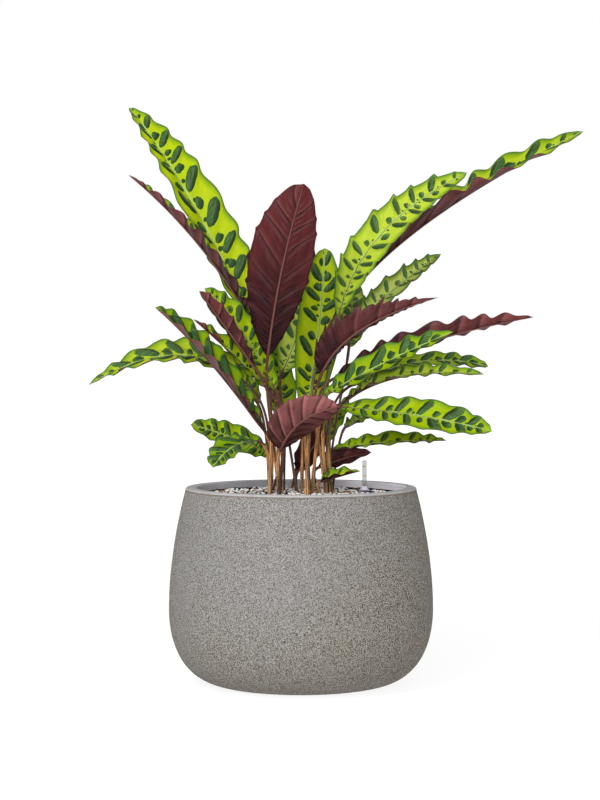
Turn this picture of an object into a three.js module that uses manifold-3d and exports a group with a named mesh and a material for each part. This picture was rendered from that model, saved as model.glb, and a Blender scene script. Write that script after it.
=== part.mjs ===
// Potted rattlesnake plant: planter, planting mix, granules, water gauge and leaves.
// Millimetres, +Z up, origin at the middle of the planter's underside.
import * as THREE from "three";
import { mergeVertices } from "three/addons/utils/BufferGeometryUtils.js";
import Module from "manifold-3d";

// Driving dimensions
const GAP = 0.3; // between touching pieces
const ROUND_STEPS = 48; // sides of the planter and of what fits in it

const PLANTER = {
  height: 260,
  baseRadius: 96,
  bellyRadius: 174.8,
  bellyHeight: 100,
  rimRadius: 152.8,
  rimRound: 3,
  mouthRadius: 138,
  mouthDepth: 24,
  hollowRadius: 159,
  floor: 20,
  floorRadius: 118,
};
const MIX = { top: 250.8, recess: 245.5, recessRadius: 121.5 }; // the recess is the granules' bed
const GRANULES = { radius: 117, raggedness: 3.5, height: 5.2, bump: 1.3, rings: 7, sides: 32, skirt: 3 };
const HOLE = { floor: 221.6, clearance: 0.4, clear: 256 }; // the plain holes that the stalks stand in
const FOOT_HEIGHT = 222; // lower end of every stalk
const STALK = { radius: 1.9, steps: 4, neck: 0.985, reach: 0.45, lean: 0.35 };
const BLADE = {
  edge: 0.45,
  rib: 1.5,
  ribAtTip: 0.55,
  waveSteps: 2.65,
  firstRing: 0.015,
  lastRing: 0.975,
  sweep: 0.06,
  lag: 0.5, // of a wave, between the two margins
  crowding: 0.035,
  drift: 0.13,
  ripple: 0.012,
  tooth: 0.1,
};
const GAUGE = {
  x: 85.5,
  y: 62,
  seat: 247.8,
  shaftRadius: 3,
  collarRadius: 9.1,
  collarHeight: 3.4,
  coneHeight: 5.2,
  tubeRadius: 3.35,
  bore: 2.75,
  tubeTop: 292,
  cap: 1.5,
  floatRadius: 1.5,
  floatHeight: 3,
  sides: 16,
};

// What a leaf has when its row doesn't say. foot is where a stalk stands, and base, mid and tip are
// points on the midrib. face is the way the upper side looks at the base, and faceTip the same at the tip.
// width is the widest, and peak how far along that is. waves is the number of waves on each margin, and
// wave their height. fold is how far each half is raised, in degrees. root and point are how full the two
// ends are. crisp is how sharp the waves' crests are, below 0 for sharp hollows, shear how far they lean
// towards the tip, and uneven how much wider the left half is. twist says how late the face turns. sheath
// is the stalk's radius at its foot, and knee how far below the blade the stalk starts to turn, as a share
// of its length.
const LEAF_DEFAULTS = {
  peak: 0.45,
  root: 0.6,
  point: 0.85,
  crisp: 0.1,
  shear: 0.3,
  uneven: 0,
  twist: 1,
  sheath: 2.6,
  knee: 0.3,
};
const LEAF_ROWS = [
  { name: "tall_left", foot: [-28, 8],
    base: [-55, 36, 456], mid: [-150, 84, 644], tip: [-236, 140, 772],
    face: [0.46, -0.8, 0.34], width: 77, waves: 10, wave: 4.2, fold: 32, peak: 0.34, point: 0.65,
    crisp: -0.1, shear: -0.5 },
  { name: "dark_left_high", foot: [-41.5, -1],
    base: [-63, 1, 476], mid: [-135, -20, 581], tip: [-223, -40, 668],
    face: [0.75, 0.02, 0.64], width: 50, waves: 8, wave: 4.2, fold: 25, point: 0.7, sheath: 2.2,
    crisp: -0.2 },
  { name: "front_tall_dark", foot: [-27.5, -32],
    base: [-43, -58, 433], mid: [-24, -96, 546], tip: [4, -116, 652],
    face: [0.02, 1, 0.12], width: 83, waves: 9, wave: 3, fold: 10, peak: 0.55, root: 0.72, point: 0.53,
    crisp: 0.65, shear: -0.6, uneven: -0.11 },
  { name: "center_bright", foot: [1, 6],
    base: [7, 25, 358], mid: [24, 46, 469], tip: [32, 68, 577],
    face: [0, -1, 0.15], width: 62, waves: 7, wave: 2.5, fold: 16, peak: 0.5, root: 0.5, point: 0.5,
    crisp: 0 },
  { name: "center_left_pale", foot: [-4.6, 25],
    base: [-26, 64, 409], mid: [-3, 84, 467], tip: [18, 104, 551],
    face: [-0.1, -1, 0.1], width: 50, waves: 6, wave: 2.5, fold: 15, peak: 0.5, point: 0.6, sheath: 2.4,
    knee: 0.12 },
  { name: "arch_right", foot: [13, -9],
    base: [49, -12, 481], mid: [104, 4, 591], tip: [220, 20, 675],
    face: [-0.38, -0.8, 0.38], faceTip: [-0.5, -0.82, 0.3], width: 58, waves: 10, wave: 5.4, fold: 7,
    root: 0.8, point: 0.6, crisp: 0.6, shear: 0.8, uneven: 0.04 },
  { name: "far_right_long", foot: [8.5, 14],
    base: [40, 16, 477], mid: [158, 62, 603], tip: [387, 130, 739],
    face: [-0.5, 0.28, 0.65], faceTip: [-0.42, -0.85, 0.3], width: 62, waves: 12, wave: 5.4, fold: 30,
    peak: 0.58, root: 0.95, point: 0.65, sheath: 2.2, crisp: -0.15, shear: 0.2, twist: 2.3 },
  { name: "mid_right_wavy", foot: [34, 14],
    base: [68, 50, 469], mid: [123, 72, 519], tip: [190, 96, 570],
    face: [-0.45, -0.75, 0.48], width: 40, waves: 8, wave: 4.6, fold: 20, point: 0.6, sheath: 2.2,
    crisp: 0.5, shear: 0.8 },
  { name: "dark_right_mid", foot: [6, -36],
    base: [27, -40, 411], mid: [76, -60, 467], tip: [175, -84, 509],
    face: [-0.45, 0.77, 0.45], width: 52, waves: 9, wave: 7.6, fold: 34, peak: 0.3, root: 0.55, point: 1.05,
    sheath: 3, crisp: 0.85, shear: 1 },
  { name: "small_right_back", foot: [34, 54],
    base: [65, 80, 444], mid: [69, 104, 486], tip: [71, 134, 533],
    face: [0.05, -0.9, 0.4], width: 44, waves: 5, wave: 2.2, fold: 12, peak: 0.5, root: 0.5, point: 0.5,
    sheath: 2.2, crisp: -0.2 },
  { name: "long_right_dark", foot: [33.5, -5],
    base: [45, -8, 404], mid: [166, -16, 451], tip: [303, -26, 484],
    face: [-0.17, 0.62, 0.76], width: 46, waves: 9, wave: 4.5, fold: 34, point: 0.7, crisp: -0.1,
    shear: 0.5 },
  { name: "green_right_mid", foot: [9.5, -21],
    base: [29, -30, 381], mid: [108, -64, 425], tip: [194, -96, 465],
    face: [-0.2, -0.7, 0.66], width: 44, waves: 6, wave: 3.6, fold: 26, point: 0.6, crisp: -0.1 },
  { name: "right_flat_back", foot: [40, 14],
    base: [65, 26, 392], mid: [157, 52, 424], tip: [252, 64, 418],
    face: [-0.05, -0.42, 0.9], width: 42, waves: 7, wave: 2.5, fold: 10, peak: 0.55, point: 0.28,
    sheath: 2.2, crisp: -0.3 },
  { name: "right_arch", foot: [40, 2],
    base: [53, 4, 369], mid: [128, 0, 405], tip: [241, -8, 409],
    face: [-0.27, -0.12, 0.95], faceTip: [-0.27, -0.6, 0.75], width: 36, waves: 8, wave: 2.8, fold: 24,
    point: 0.6, crisp: -0.2 },
  { name: "right_low_big", foot: [33.5, -17],
    base: [51, -26, 366], mid: [145, -74, 358], tip: [242, -116, 339],
    face: [0.05, -0.78, 0.62], faceTip: [0.15, -0.75, 0.62], width: 52, waves: 7, wave: 3, fold: 14,
    peak: 0.6, point: 0.5, crisp: -0.3 },
  { name: "right_low_narrow", foot: [40.5, 25],
    base: [43, 24, 309], mid: [116, 18, 318], tip: [192, 8, 321],
    face: [-0.1, -0.42, 0.9], width: 36, waves: 6, wave: 3, fold: 24, point: 0.6, sheath: 2.2,
    crisp: -0.3 },
  { name: "right_low_dark", foot: [34, 31],
    base: [23, 36, 283], mid: [59, 42, 296], tip: [95, 48, 303],
    face: [-0.15, 0.8, 0.5], width: 30, waves: 4, wave: 2, fold: 18, sheath: 2.2 },
  { name: "right_lowest_small", foot: [33.5, -29],
    base: [26, -28, 270], mid: [50, -34, 277], tip: [77, -42, 284],
    face: [-0.3, -0.25, 0.92], width: 30, waves: 3, wave: 2, fold: 30, peak: 0.3, sheath: 3 },
  { name: "left_arch_long", foot: [-41, -13],
    base: [-48, -30, 336], mid: [-117, -80, 427], tip: [-184, -120, 496],
    face: [0.7, -0.28, 0.64], width: 62, waves: 8, wave: 3.6, fold: 28, point: 0.6, sheath: 3,
    crisp: -0.15 },
  { name: "far_left_low", foot: [-41.5, 12],
    base: [-67, 10, 391], mid: [-160, -2, 434], tip: [-279, -10, 395],
    face: [-0.1, -0.58, 0.8], faceTip: [-0.1, -0.4, 0.9], width: 57, waves: 8, wave: 4, fold: 16,
    peak: 0.42, point: 0.75, sheath: 2.2, crisp: -0.25, shear: -0.4, uneven: -0.12 },
  { name: "dark_left_mid", foot: [-41, -37],
    base: [-57, -60, 415], mid: [-97, -84, 472], tip: [-129, -104, 517],
    face: [0.48, 0.82, 0.32], width: 27, waves: 6, wave: 3.2, fold: 34, peak: 0.55, root: 0.75, point: 0.6,
    crisp: 0.5, shear: 0.4 },
  { name: "green_left_mid", foot: [-27.5, -19],
    base: [-33, -20, 387], mid: [-75, -40, 463], tip: [-124, -60, 521],
    face: [0.48, -0.8, 0.35], width: 46, waves: 7, wave: 3.2, fold: 18, peak: 0.5, point: 0.6,
    sheath: 2.2 },
  { name: "thin_left", foot: [-27.5, -6],
    base: [-45, -10, 391], mid: [-92, -16, 438], tip: [-140, -28, 481],
    face: [0.4, -0.7, 0.6], faceTip: [0.62, 0.25, 0.74], width: 40, waves: 6, wave: 3.2, fold: 26,
    peak: 0.4, point: 0.7, sheath: 2.2, twist: 2 },
  { name: "left_low_upper", foot: [-42, 27],
    base: [-39, 36, 300], mid: [-89, 22, 323], tip: [-146, 8, 342],
    face: [0.15, -0.75, 0.65], width: 44, waves: 6, wave: 2.8, fold: 12, peak: 0.5, point: 0.5, sheath: 2.2,
    crisp: -0.35 },
  { name: "left_low_front", foot: [-41, -25],
    base: [-57, -34, 322], mid: [-87, -64, 317], tip: [-113, -88, 291],
    face: [-0.3, -0.6, 0.75], width: 50, waves: 5, wave: 2.8, fold: 12, peak: 0.5, point: 0.45,
    crisp: -0.3 },
  { name: "front_small_dark", foot: [-27, -44],
    base: [-26, -82, 314], mid: [1, -104, 351], tip: [48, -114, 370],
    face: [-0.26, 0.9, 0.35], width: 64, waves: 7, wave: 3.5, fold: 24, peak: 0.34, root: 0.45, point: 0.6,
    crisp: 0.75 },
  { name: "low_middle_dark", foot: [0, 41],
    base: [-4, 40, 278], mid: [15, 41, 309], tip: [43, 46, 351],
    face: [-0.35, 0.88, 0.3], width: 38, waves: 5, wave: 2.5, fold: 16, peak: 0.5, sheath: 2.2 },
  { name: "inner_left_green", foot: [-28, 32],
    base: [-23, 56, 340], mid: [-27, 68, 389], tip: [-34, 84, 446],
    face: [0.1, -0.95, 0.3], width: 42, waves: 5, wave: 3, fold: 16, peak: 0.5, sheath: 2.2, crisp: -0.2 },
  { name: "inner_right_green", foot: [40, 62],
    base: [31, 74, 310], mid: [44, 84, 342], tip: [66, 102, 374],
    face: [-0.3, -0.7, 0.6], width: 34, waves: 4, wave: 2.5, fold: 16, peak: 0.5, sheath: 2.2 },
  { name: "back_tall", foot: [-23, 66],
    base: [-22, 100, 405], mid: [-23, 150, 508], tip: [-14, 214, 613],
    face: [0.1, -0.75, 0.66], width: 60, waves: 8, wave: 4.5, fold: 20, point: 0.6, sheath: 2 },
  { name: "back_center", foot: [-15.5, 74],
    base: [22, 106, 393], mid: [27, 168, 478], tip: [34, 244, 563],
    face: [-0.05, -0.72, 0.7], width: 46, waves: 7, wave: 4, fold: 20, point: 0.6, sheath: 2.2 },
  { name: "back_low_center", foot: [13, 60],
    base: [7, 100, 322], mid: [3, 170, 344], tip: [2, 244, 324],
    face: [0, -0.3, 0.95], width: 50, waves: 7, wave: 4, fold: 12, point: 0.6, sheath: 2.2 },
  { name: "back_low_right", foot: [41, 76],
    base: [60, 64, 336], mid: [118, 140, 352], tip: [192, 204, 342],
    face: [-0.1, -0.12, 1], width: 44, waves: 7, wave: 3.5, fold: 12, point: 0.6, sheath: 2.2, knee: 0.15 },
  { name: "back_low_left", foot: [-42, 52],
    base: [-58, 66, 367], mid: [-105, 140, 417], tip: [-173, 196, 434],
    face: [0.15, -0.2, 1], width: 46, waves: 7, wave: 3.5, fold: 12, point: 0.6, sheath: 2.2 },
];
const LEAVES = LEAF_ROWS.map((row) => ({ ...LEAF_DEFAULTS, ...row }));

const wasm = await Module();
wasm.setup();

const COLOURS = {
  concrete: new THREE.Color(0x928e8a),
  mix: new THREE.Color(0x2b2320),
  granules: new THREE.Color(0x9d9792),
  clear: new THREE.Color(0xd8dadd),
  collar: new THREE.Color(0x55545c),
  red: new THREE.Color(0xa81c10),
  leafGreen: new THREE.Color(0x8fb32a),
};

function material(color, roughness) {
  return new THREE.MeshStandardMaterial({ color, roughness, metalness: 0 });
}

const radians = THREE.MathUtils.degToRad;

// Solids: a closed geometry as a manifold, and back again for a mesh.
function solidOf(geometry) {
  const bare = geometry.clone();
  bare.deleteAttribute("normal");
  bare.deleteAttribute("uv");
  const merged = mergeVertices(bare, 1e-4);
  return new wasm.Manifold(
    new wasm.Mesh({
      numProp: 3,
      vertProperties: merged.attributes.position.array,
      triVerts: new Uint32Array(merged.index.array),
    }),
  );
}

function geometryOf(solid) {
  const { vertProperties, triVerts } = solid.getMesh();
  const geometry = new THREE.BufferGeometry();
  geometry.setAttribute("position", new THREE.BufferAttribute(vertProperties, 3));
  geometry.setIndex(new THREE.BufferAttribute(triVerts, 1));
  geometry.computeVertexNormals();
  return geometry;
}

// A turned piece about +Z from a profile of [radius, height] points, listed from the bottom up its outside.
function turned(profile, sides = ROUND_STEPS) {
  const points = profile.map(([radius, height]) => new THREE.Vector2(radius, height));
  return new THREE.LatheGeometry(points, sides).rotateX(Math.PI / 2);
}

function curvePoints(corners, steps) {
  const [a, b, c, d] = corners.map(([radius, height]) => new THREE.Vector2(radius, height));
  return new THREE.CubicBezierCurve(a, b, c, d).getPoints(steps).map((p) => [p.x, p.y]);
}

// The planter's outer wall: a full round belly that draws in to the rim.
function outerWall() {
  const { height, baseRadius, bellyRadius, bellyHeight, rimRadius, rimRound } = PLANTER;
  const belly = curvePoints(
    [[baseRadius, 0], [baseRadius + 54, 0], [bellyRadius, 45], [bellyRadius, bellyHeight]],
    7,
  );
  const shoulder = curvePoints(
    [[bellyRadius, bellyHeight], [bellyRadius, 150], [166, 205], [rimRadius, height - rimRound]],
    5,
  );
  return [...belly, ...shoulder.slice(1)];
}

// The planter's hollow from its mouth down to the floor, drawn in by inset for what fills it.
function innerWall(inset, top) {
  const { height, mouthRadius, mouthDepth, hollowRadius, floor, floorRadius } = PLANTER;
  const neck = height - mouthDepth;
  const wall = curvePoints(
    [[mouthRadius - inset, neck], [hollowRadius - inset, 190], [hollowRadius - inset, 60],
      [floorRadius, floor + inset]],
    5,
  );
  return [[mouthRadius - inset, top], ...wall];
}

function planter() {
  const { height, rimRadius, rimRound, mouthRadius, floor } = PLANTER;
  const profile = [
    [0, 0],
    ...outerWall(),
    [rimRadius - rimRound * 0.3, height - rimRound * 0.3],
    [rimRadius - rimRound, height],
    ...innerWall(0, height),
    [0, floor],
  ];
  return turned(profile);
}

function plantingMix(holes) {
  const { top, recess, recessRadius } = MIX;
  const wall = innerWall(GAP, top).reverse();
  const bed = [[recessRadius, top], [recessRadius, recess], [0, recess]];
  const body = turned([[0, PLANTER.floor + GAP], ...wall, ...bed]);
  return geometryOf(solidOf(body).subtract(holes));
}

// A repeatable value from 0 to 1 for a ring and a side.
function scatter(ring, side) {
  const value = Math.sin(ring * 127.1 + side * 311.7) * 43758.5453;
  return value - Math.floor(value);
}

// The top dressing: a thin layer with a lumpy top and a ragged rim.
function granules(holes) {
  const { radius, raggedness, height, bump, rings, sides, skirt } = GRANULES;
  const bottom = MIX.recess + GAP;
  const positions = [];
  const indices = [];
  const point = (r, angle, z) => positions.push(r * Math.cos(angle), r * Math.sin(angle), z) / 3 - 1;
  const topMiddle = point(0, 0, bottom + height);
  const ringStarts = [];
  for (let ring = 1; ring <= rings; ring++) {
    ringStarts.push(positions.length / 3);
    for (let side = 0; side < sides; side++) {
      const ragged = ring === rings ? (scatter(rings, side) - 0.5) * 2 * raggedness : 0;
      const lump = (scatter(ring, side) - 0.5) * 2 * bump;
      const edgeDrop = ring === rings ? height - skirt - bump : 0;
      const angle = ((side + (ring % 2) / 2) / sides) * Math.PI * 2;
      point((radius * ring) / rings + ragged, angle, bottom + height + lump - edgeDrop);
    }
  }
  const rim = ringStarts[rings - 1];
  const lowerRim = positions.length / 3;
  for (let side = 0; side < sides; side++) {
    positions.push(positions[(rim + side) * 3], positions[(rim + side) * 3 + 1], bottom);
  }
  const lowerMiddle = point(0, 0, bottom);
  const next = (side) => (side + 1) % sides;
  for (let side = 0; side < sides; side++) {
    indices.push(topMiddle, ringStarts[0] + side, ringStarts[0] + next(side));
    for (let ring = 0; ring < rings - 1; ring++) {
      const inner = ringStarts[ring];
      const outer = ringStarts[ring + 1];
      indices.push(inner + side, outer + side, outer + next(side));
      indices.push(inner + side, outer + next(side), inner + next(side));
    }
    indices.push(rim + side, lowerRim + side, lowerRim + next(side));
    indices.push(rim + side, lowerRim + next(side), rim + next(side));
    indices.push(lowerMiddle, lowerRim + next(side), lowerRim + side);
  }
  const geometry = new THREE.BufferGeometry();
  geometry.setAttribute("position", new THREE.BufferAttribute(new Float32Array(positions), 3));
  geometry.setIndex(indices);
  return geometryOf(solidOf(geometry).subtract(holes));
}

// Leaves

const vector = (values) => new THREE.Vector3(...values);

// A point on a leaf's midrib, with the way along it, the way its face looks and the way across it.
function midribFrame(leaf, along) {
  const base = vector(leaf.base);
  const mid = vector(leaf.mid);
  const tip = vector(leaf.tip);
  const control = mid.clone().multiplyScalar(2).addScaledVector(base, -0.5).addScaledVector(tip, -0.5);
  const curve = new THREE.QuadraticBezierCurve3(base, control, tip);
  const centre = curve.getPoint(along);
  const tangent = curve.getTangent(along);
  const faceBase = vector(leaf.face).normalize();
  const faceTip = vector(leaf.faceTip ?? leaf.face).normalize();
  const normal = faceBase.lerp(faceTip, along ** leaf.twist);
  normal.addScaledVector(tangent, -normal.dot(tangent)).normalize();
  const side = new THREE.Vector3().crossVectors(tangent, normal);
  return { centre, tangent, normal, side };
}

function halfWidth(leaf, along) {
  const { root, point } = leaf;
  const quarter = Math.PI / 2;
  const share =
    along < leaf.peak
      ? Math.sin((quarter * along) / leaf.peak) ** root
      : Math.cos((quarter * (along - leaf.peak)) / (1 - leaf.peak)) ** point;
  return (leaf.width / 2) * share;
}

// Waves counted along the right margin, a whole number at each crest. They are longest in mid leaf.
function wavePlace(leaf, along) {
  const crowded = along + BLADE.crowding * Math.sin(2 * Math.PI * along);
  const count = leaf.waves * (crowded - BLADE.sweep) - 0.25;
  return count + BLADE.drift * Math.sin(1.9 * count + leaf.width);
}

// Waves are lower towards both ends, and no two are alike.
function waveHeight(leaf, along) {
  const share = halfWidth(leaf, along) / (leaf.width / 2);
  const fullness = Math.min(1, share * 1.6) * Math.min(1, (1 - along) * 6 + 0.25);
  return leaf.wave * fullness * (1 + 0.2 * Math.sin(2.3 * wavePlace(leaf, along) + 2 * leaf.width));
}

// A margin's wave: round, or partly sharp at its crests, or in its hollows when crisp is below 0.
function waveShape(place, crisp) {
  const turn = Math.PI * (crisp > 0 ? place : place + 0.5);
  const sharp = Math.sign(crisp) * (1.25 - 2 * Math.abs(Math.sin(turn)));
  return (1 - Math.abs(crisp)) * Math.cos(2 * Math.PI * place) + Math.abs(crisp) * sharp;
}

// A margin's tooth: it grows slowly towards the tip up to the crest, and ends in a step.
function cusp(place) {
  const past = place - Math.floor(place + 0.5);
  return past < 0 ? 1 + 2 * past : Math.max(0, 1 - past / 0.15);
}

// The six points round a blade: left edge, midrib and right edge above, then the same below.
function bladeRing(leaf, along) {
  const { centre, tangent, normal, side } = midribFrame(leaf, along);
  const fold = radians(leaf.fold);
  const edge = (sign) => {
    const half = halfWidth(leaf, along) * (1 - leaf.uneven * sign);
    const place = wavePlace(leaf, along) + (sign < 0 ? BLADE.lag : 0);
    const swing = waveShape(place, leaf.crisp);
    const tooth = BLADE.tooth * Math.max(0, leaf.crisp) * (cusp(place) - 0.35);
    const wave = waveHeight(leaf, along) * swing;
    const middle = centre
      .clone()
      .addScaledVector(side, sign * half * Math.cos(fold) * (1 + BLADE.ripple * swing + tooth))
      .addScaledVector(normal, half * Math.sin(fold) + wave)
      .addScaledVector(tangent, leaf.shear * wave);
    return (up) => middle.clone().addScaledVector(normal, up);
  };
  const left = edge(-1);
  const right = edge(1);
  const rib = THREE.MathUtils.lerp(BLADE.rib, BLADE.ribAtTip, along);
  return [
    left(BLADE.edge),
    centre.clone().addScaledVector(normal, rib),
    right(BLADE.edge),
    right(-BLADE.edge),
    centre.clone().addScaledVector(normal, -rib),
    left(-BLADE.edge),
  ];
}

// The stalk rises from its hole and turns into the midrib.
function stalkCurve(leaf) {
  const foot = new THREE.Vector3(leaf.foot[0], leaf.foot[1], FOOT_HEIGHT);
  const { centre: base, tangent } = midribFrame(leaf, 0);
  const length = base.distanceTo(foot);
  const rise = new THREE.Vector3(base.x - foot.x, base.y - foot.y, 0).multiplyScalar(STALK.lean);
  rise.z = length;
  rise.normalize();
  return new THREE.CubicBezierCurve3(
    foot,
    foot.clone().addScaledVector(rise, length * STALK.reach),
    base.clone().addScaledVector(tangent, -length * leaf.knee),
    base,
  );
}

// The share of a stalk's curve at which it is clear of the granules.
function clearShare(leaf) {
  const curve = stalkCurve(leaf);
  let share = 0;
  while (curve.getPoint(share).z < HOLE.clear) share += 0.01;
  return share;
}

// A six-sided ring round a stalk, its sides turned with the blade's.
function stalkRing(leaf, share, extra = 0) {
  const curve = stalkCurve(leaf);
  const centre = curve.getPoint(share);
  const tangent = curve.getTangent(share);
  const normal = midribFrame(leaf, 0).normal;
  normal.addScaledVector(tangent, -normal.dot(tangent)).normalize();
  const side = new THREE.Vector3().crossVectors(tangent, normal);
  const radius = STALK.radius + (leaf.sheath - STALK.radius) * (1 - share) ** 1.3 + extra;
  return [150, 90, 30, -30, -90, -150].map((degrees) =>
    centre
      .clone()
      .addScaledVector(side, radius * Math.cos(radians(degrees)))
      .addScaledVector(normal, radius * Math.sin(radians(degrees))),
  );
}

// A stalk's rings: its foot, the mouth of its hole, then even steps up to the blade.
function stalkRings(leaf) {
  const start = clearShare(leaf);
  const rings = [stalkRing(leaf, 0)];
  for (let step = 0; step < STALK.steps; step++) {
    rings.push(stalkRing(leaf, start + ((STALK.neck - start) * step) / STALK.steps));
  }
  rings.push(stalkRing(leaf, STALK.neck));
  return rings;
}

// A closed skin over six-point rings, flat at the first ring and brought to a point or flat at the other end.
function loft(rings, apex) {
  const positions = rings.flat().flatMap((p) => [p.x, p.y, p.z]);
  const indices = [];
  const corner = (ring, index) => ring * 6 + (index % 6);
  for (let ring = 0; ring < rings.length - 1; ring++) {
    // The same diagonal runs across a face and the face under it, so that a waved blade never meets itself.
    for (const [from, to, outward] of [[1, 0, true], [1, 2, false], [4, 3, true], [4, 5, false]]) {
      const quad = [corner(ring, from), corner(ring, to), corner(ring + 1, to), corner(ring + 1, from)];
      if (outward) indices.push(quad[0], quad[2], quad[1], quad[0], quad[3], quad[2]);
      else indices.push(quad[0], quad[1], quad[2], quad[0], quad[2], quad[3]);
    }
    for (const [from, to] of [[2, 3], [5, 0]]) {
      const quad = [corner(ring, from), corner(ring, to), corner(ring + 1, to), corner(ring + 1, from)];
      indices.push(quad[0], quad[1], quad[2], quad[0], quad[2], quad[3]);
    }
  }
  const last = rings.length - 1;
  for (let index = 1; index < 5; index++) indices.push(0, index + 1, index);
  if (apex) {
    const top = positions.push(apex.x, apex.y, apex.z) / 3 - 1;
    for (let index = 0; index < 6; index++) indices.push(corner(last, index), corner(last, index + 1), top);
  } else {
    for (let index = 1; index < 5; index++) {
      indices.push(corner(last, 0), corner(last, index), corner(last, index + 1));
    }
  }
  const geometry = new THREE.BufferGeometry();
  geometry.setAttribute("position", new THREE.BufferAttribute(new Float32Array(positions), 3));
  geometry.setIndex(indices);
  return geometry;
}

function leafGeometry(leaf) {
  const steps = Math.round(leaf.waves * BLADE.waveSteps);
  const rings = stalkRings(leaf);
  for (let step = 0; step <= steps; step++) {
    const along = THREE.MathUtils.lerp(BLADE.firstRing, BLADE.lastRing, step / steps);
    rings.push(bladeRing(leaf, along));
  }
  const geometry = loft(rings, vector(leaf.tip));
  geometry.computeVertexNormals();
  return geometry;
}

// What a stalk's hole takes out of the mix and the granules.
function stalkHole(leaf) {
  const rings = [0, clearShare(leaf)].map((share) => stalkRing(leaf, share, HOLE.clearance));
  for (const p of rings[0]) p.z -= FOOT_HEIGHT - HOLE.floor;
  return solidOf(loft(rings));
}

// Water gauge

function cylinder(radius, from, to, sides = GAUGE.sides) {
  return turned([[0, from], [radius, from], [radius, to], [0, to]], sides);
}

function gaugeShaft() {
  return cylinder(GAUGE.shaftRadius, PLANTER.floor + GAP, GAUGE.seat - GAP);
}

function gaugeFoot() {
  const { collarRadius, collarHeight, coneHeight, tubeRadius } = GAUGE;
  const collarTop = GAUGE.seat + collarHeight;
  return turned(
    [
      [0, GAUGE.seat],
      [collarRadius, GAUGE.seat],
      [collarRadius, collarTop],
      [tubeRadius + 2.6, collarTop + coneHeight * 0.4],
      [tubeRadius, collarTop + coneHeight],
      [0, collarTop + coneHeight],
    ],
    GAUGE.sides,
  );
}

const tubeSeat = GAUGE.seat + GAUGE.collarHeight + GAUGE.coneHeight + GAP;

function gaugeTube() {
  const { tubeRadius, bore, tubeTop, cap } = GAUGE;
  return turned(
    [
      [bore, tubeSeat],
      [tubeRadius, tubeSeat],
      [tubeRadius, tubeTop - 1],
      [tubeRadius - 1, tubeTop],
      [0, tubeTop],
      [0, tubeTop - cap],
      [bore, tubeTop - cap],
      [bore, tubeSeat],
    ],
    GAUGE.sides,
  );
}

function gaugeFloat() {
  return cylinder(GAUGE.floatRadius, tubeSeat, tubeSeat + GAUGE.floatHeight, 12);
}

// Assembly

const plant = new THREE.Group();

function add(name, geometry, surface, parent = plant) {
  const mesh = new THREE.Mesh(geometry, surface);
  mesh.name = name;
  parent.add(mesh);
  return mesh;
}

const gaugeHole = turned(
  [
    [0, PLANTER.floor - 1],
    [GAUGE.shaftRadius + GAP, PLANTER.floor - 1],
    [GAUGE.shaftRadius + GAP, GAUGE.seat - GAP],
    [GAUGE.collarRadius + GAP, GAUGE.seat - GAP],
    [GAUGE.collarRadius + GAP, GAUGE.seat + 9],
    [0, GAUGE.seat + 9],
  ],
  GAUGE.sides,
).translate(GAUGE.x, GAUGE.y, 0);
const holes = wasm.Manifold.union([solidOf(gaugeHole), ...LEAVES.map(stalkHole)]);

add("planter", planter(), material(COLOURS.concrete, 0.9));
add("planting_mix", plantingMix(holes), material(COLOURS.mix, 1));
add("granules", granules(holes), material(COLOURS.granules, 0.85));

const gauge = new THREE.Group();
gauge.position.set(GAUGE.x, GAUGE.y, 0);
plant.add(gauge);
add("gauge_shaft", gaugeShaft(), material(COLOURS.collar, 0.5), gauge);
add("gauge_foot", gaugeFoot(), material(COLOURS.collar, 0.3), gauge);
add("gauge_tube", gaugeTube(), material(COLOURS.clear, 0.1), gauge);
add("gauge_float", gaugeFloat(), material(COLOURS.red, 0.4), gauge);

for (const leaf of LEAVES) {
  add(`leaf_${leaf.name}`, leafGeometry(leaf), material(COLOURS.leafGreen, 0.5));
}

export default plant;
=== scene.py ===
import math
from dataclasses import dataclass
from functools import lru_cache
from random import Random
from types import SimpleNamespace

import bmesh
import bpy
from mathutils import Matrix, Vector, noise


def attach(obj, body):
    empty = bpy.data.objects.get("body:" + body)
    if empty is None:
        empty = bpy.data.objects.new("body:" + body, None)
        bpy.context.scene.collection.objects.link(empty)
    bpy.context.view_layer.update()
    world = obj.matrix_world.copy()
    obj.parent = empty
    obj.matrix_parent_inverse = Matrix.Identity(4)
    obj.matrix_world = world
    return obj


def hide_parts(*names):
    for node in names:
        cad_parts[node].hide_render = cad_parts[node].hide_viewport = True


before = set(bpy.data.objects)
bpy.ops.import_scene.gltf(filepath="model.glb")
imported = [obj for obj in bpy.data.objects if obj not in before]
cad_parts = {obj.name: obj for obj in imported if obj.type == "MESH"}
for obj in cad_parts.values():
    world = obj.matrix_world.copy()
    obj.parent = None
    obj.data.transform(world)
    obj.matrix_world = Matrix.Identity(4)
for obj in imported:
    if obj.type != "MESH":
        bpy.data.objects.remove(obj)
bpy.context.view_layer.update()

MM = 0.001
MERGE = 1e-7  # metres, for the doubles at a seam or a pole
GAP = 0.3  # left open between two parts that stand against each other

CAMERA = {"place": (-1.3, -3000, 475), "pitch": 1.916, "focal_px": 2276, "height_px": 800, "sensor": 36}

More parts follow.
